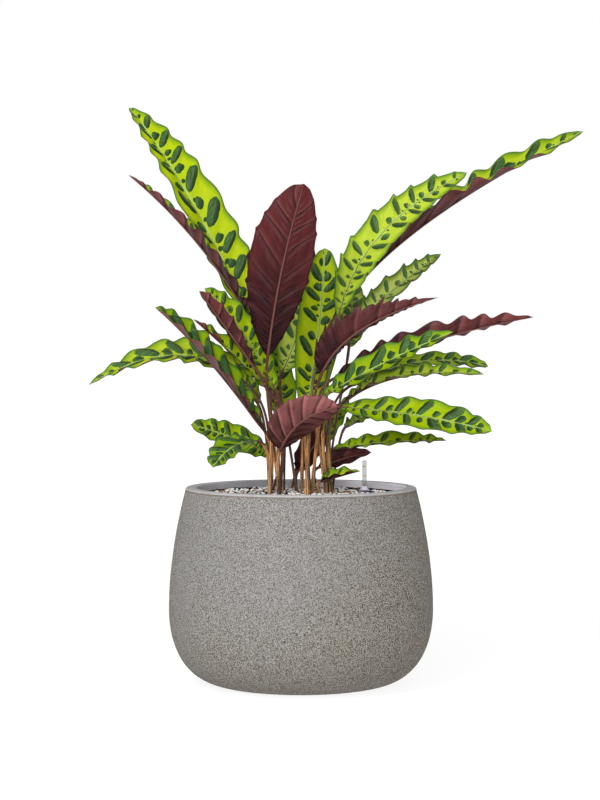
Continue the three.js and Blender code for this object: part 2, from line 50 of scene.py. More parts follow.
# The values named pull are where the corners of the walls' curves lie.
PLANTER = {
    "height": 260,
    "base_radius": 96,
    "base_pull": 54,
    "belly_radius": 174.7,
    "belly_height": 100,
    "belly_pull_low": 45,
    "belly_pull_high": 150,
    "shoulder_pull": (166, 205),
    "rim_radius": 152.6,
    "rim_round": 3,
    "mouth_radius": 138,
    "mouth_round": 1.4,
    "mouth_depth": 24,
    "hollow_radius": 159,
    "hollow_pull_high": 190,
    "hollow_pull_low": 60,
    "floor": 20,
    "floor_radius": 118,
    "dent": 0.25,
}
MIX = {
    "top": 250.8,
    "recess": 245.5,
    "recess_radius": 121.5,
    "crumbs": 700,
    "crumb_reach": (118, 136.4),
    "crumb_size": (0.5, 1.2),
}
GRANULES = {
    "radius": 117,
    "pitch": 5.6,
    "top": 252,
    "small": 2,
    "large": 3.2,
    "sunk": 1.6,
    "stalk_room": 2.6,
    "bed_thickness": 2.5,
}
GAUGE = {
    "x": 85.5,
    "y": 62,
    "seat": 247.8,
    "shaft_radius": 3,
    "collar_radius": 9.1,
    "collar_height": 3.4,
    "cone_radius": 3.5,
    "cone_height": 5.2,
    "tube_radius": 3.35,
    "bore": 2.75,
    "tube_top": 292,
    "cap": 1.5,
    "float_radius": 1.5,
    "float_height": 3,
    "ticks": (283, 270.7),
    "tick_size": (3.4, 0.5, 1.6),
    "bare_lane": 48,
}
RIM_LINE = {"height": 256.4, "width": 1.6}  # the brownish line under the rim

FOOT_HEIGHT = 222  # lower end of every stalk
STALK = {"radius": 1.7, "knee_share": 0.45, "lean": 0.35}
PULVINUS = {"length": 22, "swelling": 0.35, "ring": 24, "ring_height": 0.3, "ring_width": 1.6}
RIB = {"start": 0.07, "radius": 1.75, "taper": 1.25, "sunk": 0.85}
SHEATH = {"least_foot": 2, "turns": 1.125, "thickness": 0.2, "highest": 0.97}
BLADE = {
    "thickness": 0.55,
    "steps_per_wave": 15,
    "steps_across": 26,
    "sweep": 0.06,
    "lag": 0.5,
    "crowding": 0.035,
    "drift": 0.13,
    "pleat": 0.075,
    "side_pleat": 0.2,
    "scallop": 0.012,
    "cusp": 0.1,
    "thread": 5,
}


@dataclass(frozen=True)
class Leaf:
    """One leaf, in millimetres and degrees.

    foot is where its stalk stands, and base, mid and tip are points on its midrib. face is the way
    its upper side looks at the base, and face_tip the same at the tip. width is its widest, and
    peak how far along that is. waves is the number of waves on each margin, and wave their height.
    fold is how far each half is raised. root and point shape its two ends, the smaller the fuller.
    foot_radius is the stalk's at its foot, and a stalk thinner than 2 mm there has no dry sheath.
    knee is how far below the blade the stalk starts to turn, as a share of its length. crisp is how
    sharp the waves' crests are, below 0 for sharp hollows, shear how far they lean towards the tip,
    and uneven how much wider the left half is. twist says how late the face turns, and slant is the
    angle from the midrib to the veins. spot is the size of the blotches, tone how bright the lime
    is, pale how washed out, and bloom how light the underside is. tone, pale and bloom are partly
    each leaf's own colour and partly painted light and shade, set leaf by leaf to make a leaf look
    more or less lit."""

    name: str
    foot: tuple
    base: tuple
    mid: tuple
    tip: tuple
    face: tuple
    width: float
    waves: int
    wave: float
    fold: float
    peak: float = 0.45
    face_tip: tuple = None
    root: float = 0.6
    point: float = 0.85
    foot_radius: float = 2
    knee: float = 0.3
    crisp: float = 0.1
    shear: float = 0.3
    uneven: float = 0
    twist: float = 1
    slant: float = 52
    spot: float = 1
    tone: float = 0.6
    pale: float = 0
    bloom: float = 0.5

    @property
    def half(self):
        return self.width / 2

    @property
    def rib_corners(self):
        base, mid, tip = (Vector(point) for point in (self.base, self.mid, self.tip))
        return base, 2 * mid - (base + tip) / 2, tip

    def pitch(self, along):
        """The length of one wave along the midrib."""
        crowding = 1 + 2 * math.pi * BLADE["crowding"] * math.cos(2 * math.pi * along)
        return rib_length(self) / (self.waves * crowding)

    def half_width(self, along):
        quarter = math.pi / 2
        if along < self.peak:
            share = max(0, math.sin(quarter * along / self.peak)) ** self.root
        else:
            share = max(0, math.cos(quarter * (along - self.peak) / (1 - self.peak))) ** self.point
        return self.half * share

    def wave_place(self, along):
        """Waves counted along the right margin, a whole number at each crest, longest in mid leaf."""
        crowded = along + BLADE["crowding"] * math.sin(2 * math.pi * along)
        count = self.waves * (crowded - BLADE["sweep"]) - 0.25
        return count + BLADE["drift"] * math.sin(1.9 * count + self.width)

    def wave_height(self, along):
        """Waves are lower towards both ends, and no two are alike."""
        share = self.half_width(along) / self.half
        fullness = min(1, share * 1.6) * min(1, (1 - along) * 6 + 0.25)
        return self.wave * fullness * (1 + 0.2 * math.sin(2.3 * self.wave_place(along) + 2 * self.width))


def on_curve(corners, share):
    """The point at that share of a Bezier curve, and the way the curve runs there."""
    while len(corners) > 2:
        corners = [a.lerp(b, share) for a, b in zip(corners, corners[1:])]
    start, end = corners
    return start.lerp(end, share), (end - start).normalized()


@lru_cache(maxsize=None)
def rib_length(leaf):
    points = [on_curve(leaf.rib_corners, step / 24)[0] for step in range(25)]
    return sum((b - a).length for a, b in zip(points, points[1:]))


@lru_cache(maxsize=None)
def midrib(leaf, along):
    """The midrib's point, the way it runs, the way the blade faces and the way across it."""
    centre, tangent = on_curve(leaf.rib_corners, along)
    face_base = Vector(leaf.face).normalized()
    face_tip = Vector(leaf.face_tip or leaf.face).normalized()
    face = face_base.lerp(face_tip, along**leaf.twist)
    normal = (face - face.dot(tangent) * tangent).normalized()
    return centre, tangent, normal, tangent.cross(normal)


def from_whole(value):
    """How far a number is from the nearest whole one, with its sign."""
    return value - math.floor(value + 0.5)


def wave_shape(place, crisp):
    """A margin's wave: round, or partly sharp at its crests, or in its hollows when crisp is below 0."""
    turn = math.pi * (place if crisp > 0 else place + 0.5)
    sharp = math.copysign(1.25 - 2 * abs(math.sin(turn)), crisp)
    return (1 - abs(crisp)) * math.cos(2 * math.pi * place) + abs(crisp) * sharp


def cusp(place):
    """A margin's tooth: it grows slowly towards the tip up to the crest, and ends in a step."""
    past = from_whole(place)
    return 1 + 2 * past if past < 0 else max(0, 1 - past / 0.15)


def blade_point(leaf, along, across):
    """A point of the blade's upper face. across runs from -1 at the left margin to 1 at the right."""
    centre, tangent, normal, side = midrib(leaf, along)
    half = leaf.half_width(along) * (1 - leaf.uneven * math.copysign(1, across))
    thread = min(1, 0.12 + (1 - along) * rib_length(leaf) / BLADE["thread"])
    out = abs(across)
    lag = BLADE["lag"] if across < 0 else 0
    pitch = leaf.pitch(along)
    slope = leaf.half_width(along) / (math.tan(math.radians(leaf.slant)) * pitch)
    place = leaf.wave_place(along) + lag + slope * (1 - out)
    swing = wave_shape(place, leaf.crisp)
    main_pleat = (0.6 - abs(math.sin(math.pi * place))) * math.sin(math.pi * out**0.8) ** 0.7
    side_pleat = (0.6 - abs(math.sin(3 * math.pi * place))) * max(0, 1 - abs(out - 0.25) / 0.25)
    depth = BLADE["pleat"] * pitch * min(1, half / pitch) * (1 + max(0, leaf.crisp))
    pleat = depth * (main_pleat + BLADE["side_pleat"] * side_pleat)
    fold = math.radians(leaf.fold)
    tooth = BLADE["cusp"] * max(0, leaf.crisp) * (cusp(place) - 0.35)
    scallop = 1 + (BLADE["scallop"] * swing + tooth) * out**4
    reach = half * thread * across * math.cos(fold) * scallop
    wave = leaf.wave_height(along) * out**1.3 * swing
    raised = half * thread * out * math.sin(fold) + wave + pleat
    return centre + side * reach + normal * raised + tangent * leaf.shear * wave


def stalk_foot(leaf):
    return Vector((*leaf.foot, FOOT_HEIGHT))


def stalk_length(leaf):
    return (Vector(leaf.base) - stalk_foot(leaf)).length


def stalk_corners(leaf):
    foot = stalk_foot(leaf)
    base, tangent, _, _ = midrib(leaf, 0)
    length = (base - foot).length
    lean_x = (base.x - foot.x) * STALK["lean"]
    lean_y = (base.y - foot.y) * STALK["lean"]
    rise = Vector((lean_x, lean_y, length)).normalized()
    return foot, foot + rise * length * STALK["knee_share"], base - tangent * length * leaf.knee, base


def stalk_section(leaf, share):
    """The stalk's centre, the way it runs, and two ways across it that turn with the blade."""
    centre, tangent = on_curve(stalk_corners(leaf), share)
    face = midrib(leaf, 0)[2]
    normal = (face - face.dot(tangent) * tangent).normalized()
    return centre, tangent, normal, tangent.cross(normal)


def stalk_radius(leaf, share):
    return STALK["radius"] + (leaf.foot_radius - STALK["radius"]) * (1 - share) ** 1.3


LEAVES = [
    Leaf("tall_left", (-28, 8), (-55, 36, 456), (-150, 84, 644), (-236, 140, 772),
         (0.46, -0.8, 0.34), 77, 10, 4.2, 32, 0.34, point=0.65, crisp=-0.1, shear=-0.5, slant=44,
         spot=0.92, tone=0.95),
    Leaf("dark_left_high", (-41.5, -1), (-63, 1, 476), (-135, -20, 581), (-223, -40, 668),
         (0.75, 0.02, 0.64), 50, 8, 4.2, 25, 0.45, point=0.7, crisp=-0.2, tone=0.8, bloom=0.6,
         foot_radius=1.6),
    Leaf("front_tall_dark", (-27.5, -32), (-43, -58, 433), (-24, -96, 546), (4, -116, 652),
         (0.02, 1, 0.12), 83, 9, 3, 10, 0.55, root=0.72, point=0.53, crisp=0.65, shear=-0.6,
         uneven=-0.11, slant=47, bloom=0.04),
    Leaf("center_bright", (1, 6), (7, 25, 358), (24, 46, 469), (32, 68, 577),
         (0, -1, 0.15), 62, 7, 2.5, 16, 0.5, root=0.5, point=0.5, crisp=0, slant=46, spot=0.92,
         tone=1.3),
    Leaf("center_left_pale", (-4.6, 25), (-26, 64, 409), (-3, 84, 467), (18, 104, 551),
         (-0.1, -1, 0.1), 50, 6, 2.5, 15, 0.5, knee=0.12, foot_radius=1.8, point=0.6, spot=0.85,
         slant=48, tone=0.7, pale=0.5),
    Leaf("arch_right", (13, -9), (49, -12, 481), (104, 4, 591), (220, 20, 675),
         (-0.38, -0.8, 0.38), 58, 10, 5.4, 7, 0.45, root=0.8, face_tip=(-0.5, -0.82, 0.3),
         point=0.6, crisp=0.6, uneven=0.04, shear=0.8, slant=66, tone=0.7, pale=0.2),
    Leaf("far_right_long", (8.5, 14), (40, 16, 477), (158, 62, 603), (387, 130, 739),
         (-0.5, 0.28, 0.65), 62, 12, 5.4, 30, 0.58, root=0.95, face_tip=(-0.42, -0.85, 0.3),
         point=0.65, crisp=-0.15, shear=0.2, twist=2.3, slant=44, tone=0.85, pale=0.1, bloom=0.8,
         foot_radius=1.6),
    Leaf("mid_right_wavy", (34, 14), (68, 50, 469), (123, 72, 519), (190, 96, 570),
         (-0.45, -0.75, 0.48), 40, 8, 4.6, 20, 0.45, point=0.6, crisp=0.5, shear=0.8, slant=66,
         tone=1.5, pale=1, foot_radius=1.6),
    Leaf("dark_right_mid", (6, -36), (27, -40, 411), (76, -60, 467), (175, -84, 509),
         (-0.45, 0.77, 0.45), 52, 9, 7.6, 34, 0.3, root=0.55, point=1.05, foot_radius=2.4,
         crisp=0.85, shear=1.0, slant=62, bloom=0.3),
    Leaf("small_right_back", (34, 54), (65, 80, 444), (69, 104, 486), (71, 134, 533),
         (0.05, -0.9, 0.4), 44, 5, 2.2, 12, 0.5, root=0.5, point=0.5, crisp=-0.2, spot=1.3,
         tone=1.2, pale=0.8, foot_radius=1.6),
    Leaf("long_right_dark", (33.5, -5), (45, -8, 404), (166, -16, 451), (303, -26, 484),
         (-0.17, 0.62, 0.76), 46, 9, 4.5, 34, 0.45, point=0.7, crisp=-0.1, shear=0.5, slant=60,
         bloom=0.5),
    Leaf("green_right_mid", (9.5, -21), (29, -30, 381), (108, -64, 425), (194, -96, 465),
         (-0.2, -0.7, 0.66), 44, 6, 3.6, 26, 0.45, point=0.6, crisp=-0.1, slant=38, tone=0.25,
         spot=1.25),
    Leaf("right_flat_back", (40, 14), (65, 26, 392), (157, 52, 424), (252, 64, 418),
         (-0.05, -0.42, 0.9), 42, 7, 2.5, 10, 0.55, point=0.28, crisp=-0.3, slant=45, spot=1.2,
         tone=-0.2, foot_radius=1.6),
    Leaf("right_arch", (40, 2), (53, 4, 369), (128, 0, 405), (241, -8, 409),
         (-0.27, -0.12, 0.95), 36, 8, 2.8, 24, 0.45, face_tip=(-0.27, -0.6, 0.75), point=0.6,
         crisp=-0.2, slant=60, tone=0.5, pale=0.2, bloom=0.8),
    Leaf("right_low_big", (33.5, -17), (51, -26, 366), (145, -74, 358), (242, -116, 339),
         (0.05, -0.78, 0.62), 52, 7, 3, 14, 0.6, point=0.5, face_tip=(0.15, -0.75, 0.62),
         crisp=-0.3, slant=56, spot=1.35, tone=0.3),
    Leaf("right_low_narrow", (40.5, 25), (43, 24, 309), (116, 18, 318), (192, 8, 321),
         (-0.1, -0.42, 0.9), 36, 6, 3, 24, 0.45, point=0.6, crisp=-0.3, slant=60, tone=0.1,
         foot_radius=1.6),
    Leaf("right_low_dark", (34, 31), (23, 36, 283), (59, 42, 296), (95, 48, 303),
         (-0.15, 0.8, 0.5), 30, 4, 2, 18, bloom=0.6, foot_radius=1.6),
    Leaf("right_lowest_small", (33.5, -29), (26, -28, 270), (50, -34, 277), (77, -42, 284),
         (-0.3, -0.25, 0.92), 30, 3, 2, 30, 0.3, foot_radius=2.4, tone=0.3, bloom=0.5),
    Leaf("left_arch_long", (-41, -13), (-48, -30, 336), (-117, -80, 427), (-184, -120, 496),
         (0.7, -0.28, 0.64), 62, 8, 3.6, 28, foot_radius=2.4, point=0.6, crisp=-0.15, slant=36,
         tone=-0.6, bloom=1.3),
    Leaf("far_left_low", (-41.5, 12), (-67, 10, 391), (-160, -2, 434), (-279, -10, 395),
         (-0.1, -0.58, 0.8), 57, 8, 4, 16, 0.42, face_tip=(-0.1, -0.4, 0.9), point=0.75,
         crisp=-0.25, uneven=-0.12, shear=-0.4, slant=38, tone=0.7, pale=0.1, foot_radius=1.6),
    Leaf("dark_left_mid", (-41, -37), (-57, -60, 415), (-97, -84, 472), (-129, -104, 517),
         (0.48, 0.82, 0.32), 27, 6, 3.2, 34, 0.55, root=0.75, point=0.6, crisp=0.5, shear=0.4,
         bloom=0.5),
    Leaf("green_left_mid", (-27.5, -19), (-33, -20, 387), (-75, -40, 463), (-124, -60, 521),
         (0.48, -0.8, 0.35), 46, 7, 3.2, 18, 0.5, point=0.6, tone=0.6, foot_radius=1.6),
    Leaf("thin_left", (-27.5, -6), (-45, -10, 391), (-92, -16, 438), (-140, -28, 481),
         (0.4, -0.7, 0.6), 40, 6, 3.2, 26, 0.4, face_tip=(0.62, 0.25, 0.74), point=0.7, twist=2,
         tone=0.6, foot_radius=1.6),
    Leaf("left_low_upper", (-42, 27), (-39, 36, 300), (-89, 22, 323), (-146, 8, 342),
         (0.15, -0.75, 0.65), 44, 6, 2.8, 12, 0.5, point=0.5, crisp=-0.35, slant=60, spot=1.3,
         tone=0.35, foot_radius=1.6),
    Leaf("left_low_front", (-41, -25), (-57, -34, 322), (-87, -64, 317), (-113, -88, 291),
         (-0.3, -0.6, 0.75), 50, 5, 2.8, 12, 0.5, point=0.45, crisp=-0.3, slant=56, spot=1.6,
         tone=-0.9),
    Leaf("front_small_dark", (-27, -44), (-26, -82, 314), (1, -104, 351), (48, -114, 370),
         (-0.26, 0.9, 0.35), 64, 7, 3.5, 24, 0.34, root=0.45, point=0.6, crisp=0.75, shear=0.3,
         slant=60, bloom=1.6),
    Leaf("low_middle_dark", (0, 41), (-4, 40, 278), (15, 41, 309), (43, 46, 351),
         (-0.35, 0.88, 0.3), 38, 5, 2.5, 16, 0.5, bloom=0.2, tone=0.2, foot_radius=1.6),
    Leaf("inner_left_green", (-28, 32), (-23, 56, 340), (-27, 68, 389), (-34, 84, 446),
         (0.1, -0.95, 0.3), 42, 5, 3, 16, 0.5, tone=0.1, crisp=-0.2, foot_radius=1.6),
    Leaf("inner_right_green", (40, 62), (31, 74, 310), (44, 84, 342), (66, 102, 374),
         (-0.3, -0.7, 0.6), 34, 4, 2.5, 16, 0.5, tone=0.3, foot_radius=1.6),
    Leaf("back_tall", (-23, 66), (-22, 100, 405), (-23, 150, 508), (-14, 214, 613),
         (0.1, -0.75, 0.66), 60, 8, 4.5, 20, point=0.6, foot_radius=1.4, tone=0.6),
    Leaf("back_center", (-15.5, 74), (22, 106, 393), (27, 168, 478), (34, 244, 563),
         (-0.05, -0.72, 0.7), 46, 7, 4, 20, point=0.6, tone=0.5, foot_radius=1.6),
    Leaf("back_low_center", (13, 60), (7, 100, 322), (3, 170, 344), (2, 244, 324),
         (0, -0.3, 0.95), 50, 7, 4, 12, point=0.6, tone=0.4, foot_radius=1.6),
    Leaf("back_low_right", (41, 76), (60, 64, 336), (118, 140, 352), (192, 204, 342),
         (-0.1, -0.12, 1), 44, 7, 3.5, 12, knee=0.15, point=0.6, tone=0.4, foot_radius=1.6),
    Leaf("back_low_left", (-42, 52), (-58, 66, 367), (-105, 140, 417), (-173, 196, 434),
         (0.15, -0.2, 1), 46, 7, 3.5, 12, point=0.6, tone=0.5, foot_radius=1.6),
]


# Colours and finishes

def paint(red, green, blue):
    """A colour from its 0 to 255 screen values."""
    shares = [value / 255 for value in (red, green, blue)]
    linear = [s / 12.92 if s <= 0.04045 else ((s + 0.055) / 1.055) ** 2.4 for s in shares]
    return (*linear, 1)


class Reading:
    """A socket's value over a surface. Arithmetic on it adds Math nodes."""

    def __init__(self, finish, socket):
        self.finish = finish
        self.socket = socket

    def __add__(self, other):
        return self.finish.maths("ADD", self, other)

    def __sub__(self, other):
        return self.finish.maths("SUBTRACT", self, other)

    def __rsub__(self, other):
        return self.finish.maths("SUBTRACT", other, self)

    def __mul__(self, other):
        return self.finish.maths("MULTIPLY", self, other)

    def __truediv__(self, other):
        return self.finish.maths("DIVIDE", self, other)

    def __pow__(self, other):
        return self.finish.maths("POWER", self, other)

    def __lt__(self, other):
        return self.finish.maths("LESS_THAN", self, other)

    def __gt__(self, other):
        return self.finish.maths("GREATER_THAN", self, other)

    def __abs__(self):
        return self.finish.maths("ABSOLUTE", self)

    __radd__ = __add__
    __rmul__ = __mul__


class Finish:
    """The nodes of one material, or of the world."""

    def __init__(self, holder):
        self.holder = holder
        holder.use_nodes = True
        self.tree = holder.node_tree

    def node(self, kind, settings=None, sockets=None, output=0):
        """Adds a node. Its settings come first, then the values or links of its sockets."""
        node = self.tree.nodes.new("ShaderNode" + kind)
        for setting, value in (settings or {}).items():
            if setting == "stops":
                self.set_stops(node.color_ramp.elements, value)
            else:
                setattr(node, setting, value)
        for socket, value in (sockets or {}).items():
            self.feed(node.inputs[socket], value)
        return Reading(self, node.outputs[output])

    def set_stops(self, stops, colours):
        while len(stops) < len(colours):
            stops.new(1)
        for stop, (place, colour) in zip(stops, colours):
            stop.position = place
            stop.color = colour

    def feed(self, socket, value):
        if isinstance(value, Reading):
            self.tree.links.new(value.socket, socket)
        else:
            socket.default_value = value

    def maths(self, operation, *values):
        return self.node("Math", {"operation": operation}, dict(enumerate(values)))

    def object_place(self):
        return self.node("TexCoord", output="Object")

    def height(self):
        return self.parts(self.object_place())[2]

    def attribute(self, name):
        return self.node("Attribute", {"attribute_name": name}, output="Vector")

    def parts(self, vector):
        split = self.node("SeparateXYZ", {}, {"Vector": vector}).socket.node
        return [Reading(self, socket) for socket in split.outputs]

    def joined(self, x, y, z):
        return self.node("CombineXYZ", {}, {"X": x, "Y": y, "Z": z})

    def grain(self, place, scale, detail=2.0, roughness=0.5):
        sockets = {"Vector": place, "Scale": scale, "Detail": detail, "Roughness": roughness}
        return self.node("TexNoise", {}, sockets)

    def chance(self, place):
        """Three numbers from 0 to 1 that change wherever the place does."""
        return self.parts(self.node("TexWhiteNoise", {}, {"Vector": place}, "Color"))

    def step(self, value, start, end):
        """Rises smoothly from 0 at start to 1 at end."""
        sockets = {"Value": value, "From Min": start, "From Max": end}
        return self.node("MapRange", {"interpolation_type": "SMOOTHSTEP"}, sockets)

    def blend(self, share, under, over):
        """One colour over another."""
        return self.node("Mix", {"data_type": "RGBA"}, {0: share, 6: under, 7: over}, 2)

    def relief(self, height, depth):
        """A bumpy surface. depth is in millimetres."""
        return self.node("Bump", {}, {"Height": height, "Distance": depth * MM})

    def surface(self, colour, roughness, shine=0.5, normal=None, alpha=1):
        """Sets the material's shader, and gives the material."""
        sockets = {"Base Color": colour, "Roughness": roughness, "Alpha": alpha}
        sockets["Specular IOR Level"] = shine
        if normal is not None:
            sockets["Normal"] = normal
        for socket, value in sockets.items():
            self.feed(self.tree.nodes["Principled BSDF"].inputs[socket], value)
        return self.holder


def new_finish(name):
    return Finish(bpy.data.materials.new(name))


LIME_BRIGHT = paint(168, 186, 10)
LIME_DEEP = paint(142, 168, 4)
LIME_SHADOW = paint(84, 116, 6)
LIME_PALE = paint(202, 220, 112)
BLOTCH_DARK = paint(24, 48, 24)
BLOTCH_MID = paint(54, 90, 42)
BLOTCH_PALE = paint(110, 146, 88)
BLOTCH_THREAD = paint(120, 110, 90)
MARGIN_SOFT = paint(112, 146, 10)
MARGIN_GREEN = paint(62, 108, 44)
MARGIN_EDGE = paint(52, 50, 30)
RIB_PALE = paint(160, 196, 104)
MAROON_DARK = paint(34, 12, 15)
MAROON = paint(80, 26, 28)
MAROON_PALE = paint(152, 94, 92)

# Two rows of blotches on each half of a blade. shift and sway are in waves, lengths and the middle
# are shares of the half's width, and key gives each row its own chance numbers.
MAIN_BLOTCHES = {
    "key": 0,
    "shift": 0,
    "sway": 0.1,
    "middle": 0.46,
    "drift": 0.06,
    "length": 0.34,
    "longer": 0.06,
    "slimness": 0.38,
    "room": 0.2,
}
SIDE_BLOTCHES = {
    "key": 2,
    "shift": 0.5,
    "sway": 0.14,
    "middle": 0.26,
    "drift": 0.08,
    "length": 0.12,
    "longer": 0.08,
    "slimness": 0.72,
    "room": 0.15,
}


def nearest(f, value):
    return f.maths("FLOOR", value + 0.5)


def from_nearest(f, value):
    return value - nearest(f, value)


def larger(f, *values):
    first, *others = values
    for other in others:
        first = f.maths("MAXIMUM", first, other)
    return first


def blade_readings(f):
    """What the blade's own attributes say at a point."""
    count, across, breadth = f.parts(f.attribute("blade"))
    pitch, tone, seed = f.parts(f.attribute("leaf"))
    spot, pale, bloom = f.parts(f.attribute("look"))
    _, along, slant = f.parts(f.attribute("run"))
    out = abs(across)
    left = across < 0
    place = count + left * BLADE["lag"] + breadth * (1 - out) / (f.maths("TANGENT", slant) * pitch)
    flat = f.joined(place * pitch * 0.1, out * breadth * 0.1, seed * 7 + left * 3)
    return SimpleNamespace(
        breadth=breadth, pitch=pitch, tone=tone, seed=seed, spot=spot, pale=pale, bloom=bloom,
        along=along, slant=slant, out=out, left=left, place=place, flat=flat)


def drawn_out(f, b, over_veins, along_veins, seed):
    """Fine noise drawn out along the veins."""
    place = f.joined(b.place * b.pitch * over_veins, b.out * b.breadth * along_veins, seed)
    return f.grain(place, 1.0, 3, 0.6)


def blotch_luck(f, b, shift, key):
    """Three chance numbers for each blotch of a row."""
    return f.chance(f.joined(nearest(f, b.place + shift), b.left + key, b.seed))


def blotch(f, b, place, middle, length, slimness, room):
    """How far inside a slanting blotch a point is, and how far beside its middle line.

    The first is 1 at the blotch's middle, 0 at its edge and below 0 outside. place counts waves,
    middle and length are shares of the half's width, and room is the most of a wave that the blotch
    may fill."""
    sine = f.maths("SINE", b.slant)
    beside = from_nearest(f, place) * b.pitch
    long_half = length * b.breadth / sine
    short_half = f.maths("MINIMUM", long_half * slimness, b.pitch * room)
    lengthways = ((b.out - middle) * b.breadth / sine + beside * f.maths("COSINE", b.slant)) / long_half
    across = beside * sine / (short_half * (1 + lengthways * 0.16))
    blunt = abs(lengthways) ** 2.4 + abs(across) ** 2.2
    return 1 - blunt ** 0.43, across


def blotch_row(f, b, row, grown):
    """A row of large blotches, each a little off its even place and size."""
    luck = blotch_luck(f, b, row["shift"], row["key"])
    place = b.place + row["shift"] + (luck[0] - 0.5) * row["sway"]
    middle = row["middle"] + (luck[1] - 0.5) * row["drift"]
    length = (row["length"] + luck[2] * row["longer"]) * grown
    return blotch(f, b, place, middle, length, row["slimness"], row["room"])


def dot(f, b, place, middle, luck, absent):
    """A small round blotch. That share of them is left out."""
    return blotch(f, b, place, middle, 0.04 + luck[0] * 0.04, 0.8, 0.1)[0] - (luck[1] < absent)


def ribs_under_veins(f, b):
    """The blade's pleats, 1 on a main vein and 0 halfway to the next, and the short ones between."""
    main = 1 - abs(f.maths("SINE", b.place * math.pi))
    side = 1 - abs(f.maths("SINE", b.place * 3 * math.pi))
    main = main * f.step(b.out, 1.0, 0.75) * f.step(b.out, 0.02, 0.2)
    side = side * f.step(b.out, 0.6, 0.25) * f.step(b.out, 0.02, 0.15)
    return main, side


def upper_face():
    f = new_finish("leaf_upper_face")
    b = blade_readings(f)
    from_edge = (1 - b.out) * b.breadth
    from_rib = b.out * b.breadth
    main_pleat, side_pleat = ribs_under_veins(f, b)
    wobble = f.grain(b.flat, 1.1, 2) - 0.5
    b.place = b.place + wobble * 0.09
    b.out = b.out + wobble * 0.05

    grown = b.spot * (1 + 0.35 * f.step(b.along, 0.55, 0.95))
    main, beside = blotch_row(f, b, MAIN_BLOTCHES, grown)
    side, side_beside = blotch_row(f, b, SIDE_BLOTCHES, grown)
    near_dot = dot(f, b, b.place + 0.25, 0.13, blotch_luck(f, b, 0.24, 4), 0.45)
    far_dot = dot(f, b, b.place - 0.27, 0.12, blotch_luck(f, b, -0.27, 6), 0.6)
    main_mask = f.step(main, -0.04, 0.05)
    side_mask = f.step(side, -0.07, 0.08)
    spots = larger(f, main_mask, side_mask, f.step(larger(f, near_dot, far_dot), -0.12, 0.12))

    fibres = drawn_out(f, b, 0.9, 0.07, b.seed * 5 + b.left)
    patches = f.grain(b.flat, 0.6, 3, 0.55)
    # shade is the leaf's tone, set leaf by leaf partly as painted light and shade, with random patches,
    # and darker towards the base as painted shade. Below 0 it goes to the shadow green, and pale
    # lightens it.
    shade = b.tone + (patches - 0.5) * 1.1 + (b.along - 0.5) * 0.3
    ground = f.blend(shade, LIME_DEEP, LIME_BRIGHT)
    ground = f.blend(f.step(shade, 0, -1.2) * 0.7, ground, LIME_SHADOW)
    ground = f.blend(b.pale, ground, LIME_PALE)
    # darker along the fibres, and along the main veins as painted crease shade
    ground = f.blend(f.step(fibres, 0.62, 0.35) * 0.16 + main_pleat * 0.12, ground, LIME_SHADOW)

    inside = larger(f, main * main_mask, side * side_mask)
    # lit is painted light: each blotch is lighter on one side of its middle line, with paler streaks
    # there
    lit = f.step(beside * main_mask + side_beside * side_mask, -0.7, 0.75)
    streak = f.step(fibres, 0.42, 0.72)
    inner = f.blend(lit * 0.7 + streak * 0.3, BLOTCH_DARK, BLOTCH_MID)
    inner = f.blend(lit * streak * 0.6 * f.step(inside, 0.05, 0.3), inner, BLOTCH_PALE)
    inner = f.blend(b.pale * 0.45, inner, BLOTCH_PALE)
    thread = f.step(abs(beside + (fibres - 0.5) * 0.5), 0.14, 0.02) * f.step(main, 0.15, 0.5)
    inner = f.blend(thread * 0.4, inner, BLOTCH_THREAD)
    colour = f.blend(spots, ground, inner)

    ragged = f.grain(b.flat, 1.6, 3, 0.6) * 3
    hollow = f.maths("COSINE", b.place * 2 * math.pi)
    shadow = f.step(from_edge, 9 - hollow * 3, 0) * f.step(hollow, 0.6, -0.8) * (1 - spots * 0.6)
    colour = f.blend(shadow * 0.45, colour, LIME_SHADOW)
    soft = f.step(from_edge, 7.5 + ragged, 1.5) * (1 - spots * 0.7)
    colour = f.blend(soft * 0.75, colour, MARGIN_SOFT)
    colour = f.blend(f.step(from_edge, 2.2 + ragged, 0.4) * 0.85, colour, MARGIN_GREEN)
    colour = f.blend(f.step(from_edge, 0.7, 0.25) * 0.6, colour, MARGIN_EDGE)
    rib_width = 0.35 + b.breadth * 0.02
    rib = f.step(from_rib, rib_width + 0.5, rib_width)
    colour = f.blend(rib, colour, RIB_PALE)

    fine = drawn_out(f, b, 2.2, 0.3, b.seed)
    height = fibres * 0.5 + fine * 0.3 + rib * 0.5 - main_pleat * 0.8 - side_pleat * 0.3
    return f.surface(colour, 0.44 + (fine - 0.5) * 0.2, 0.07, f.relief(height, 0.7))


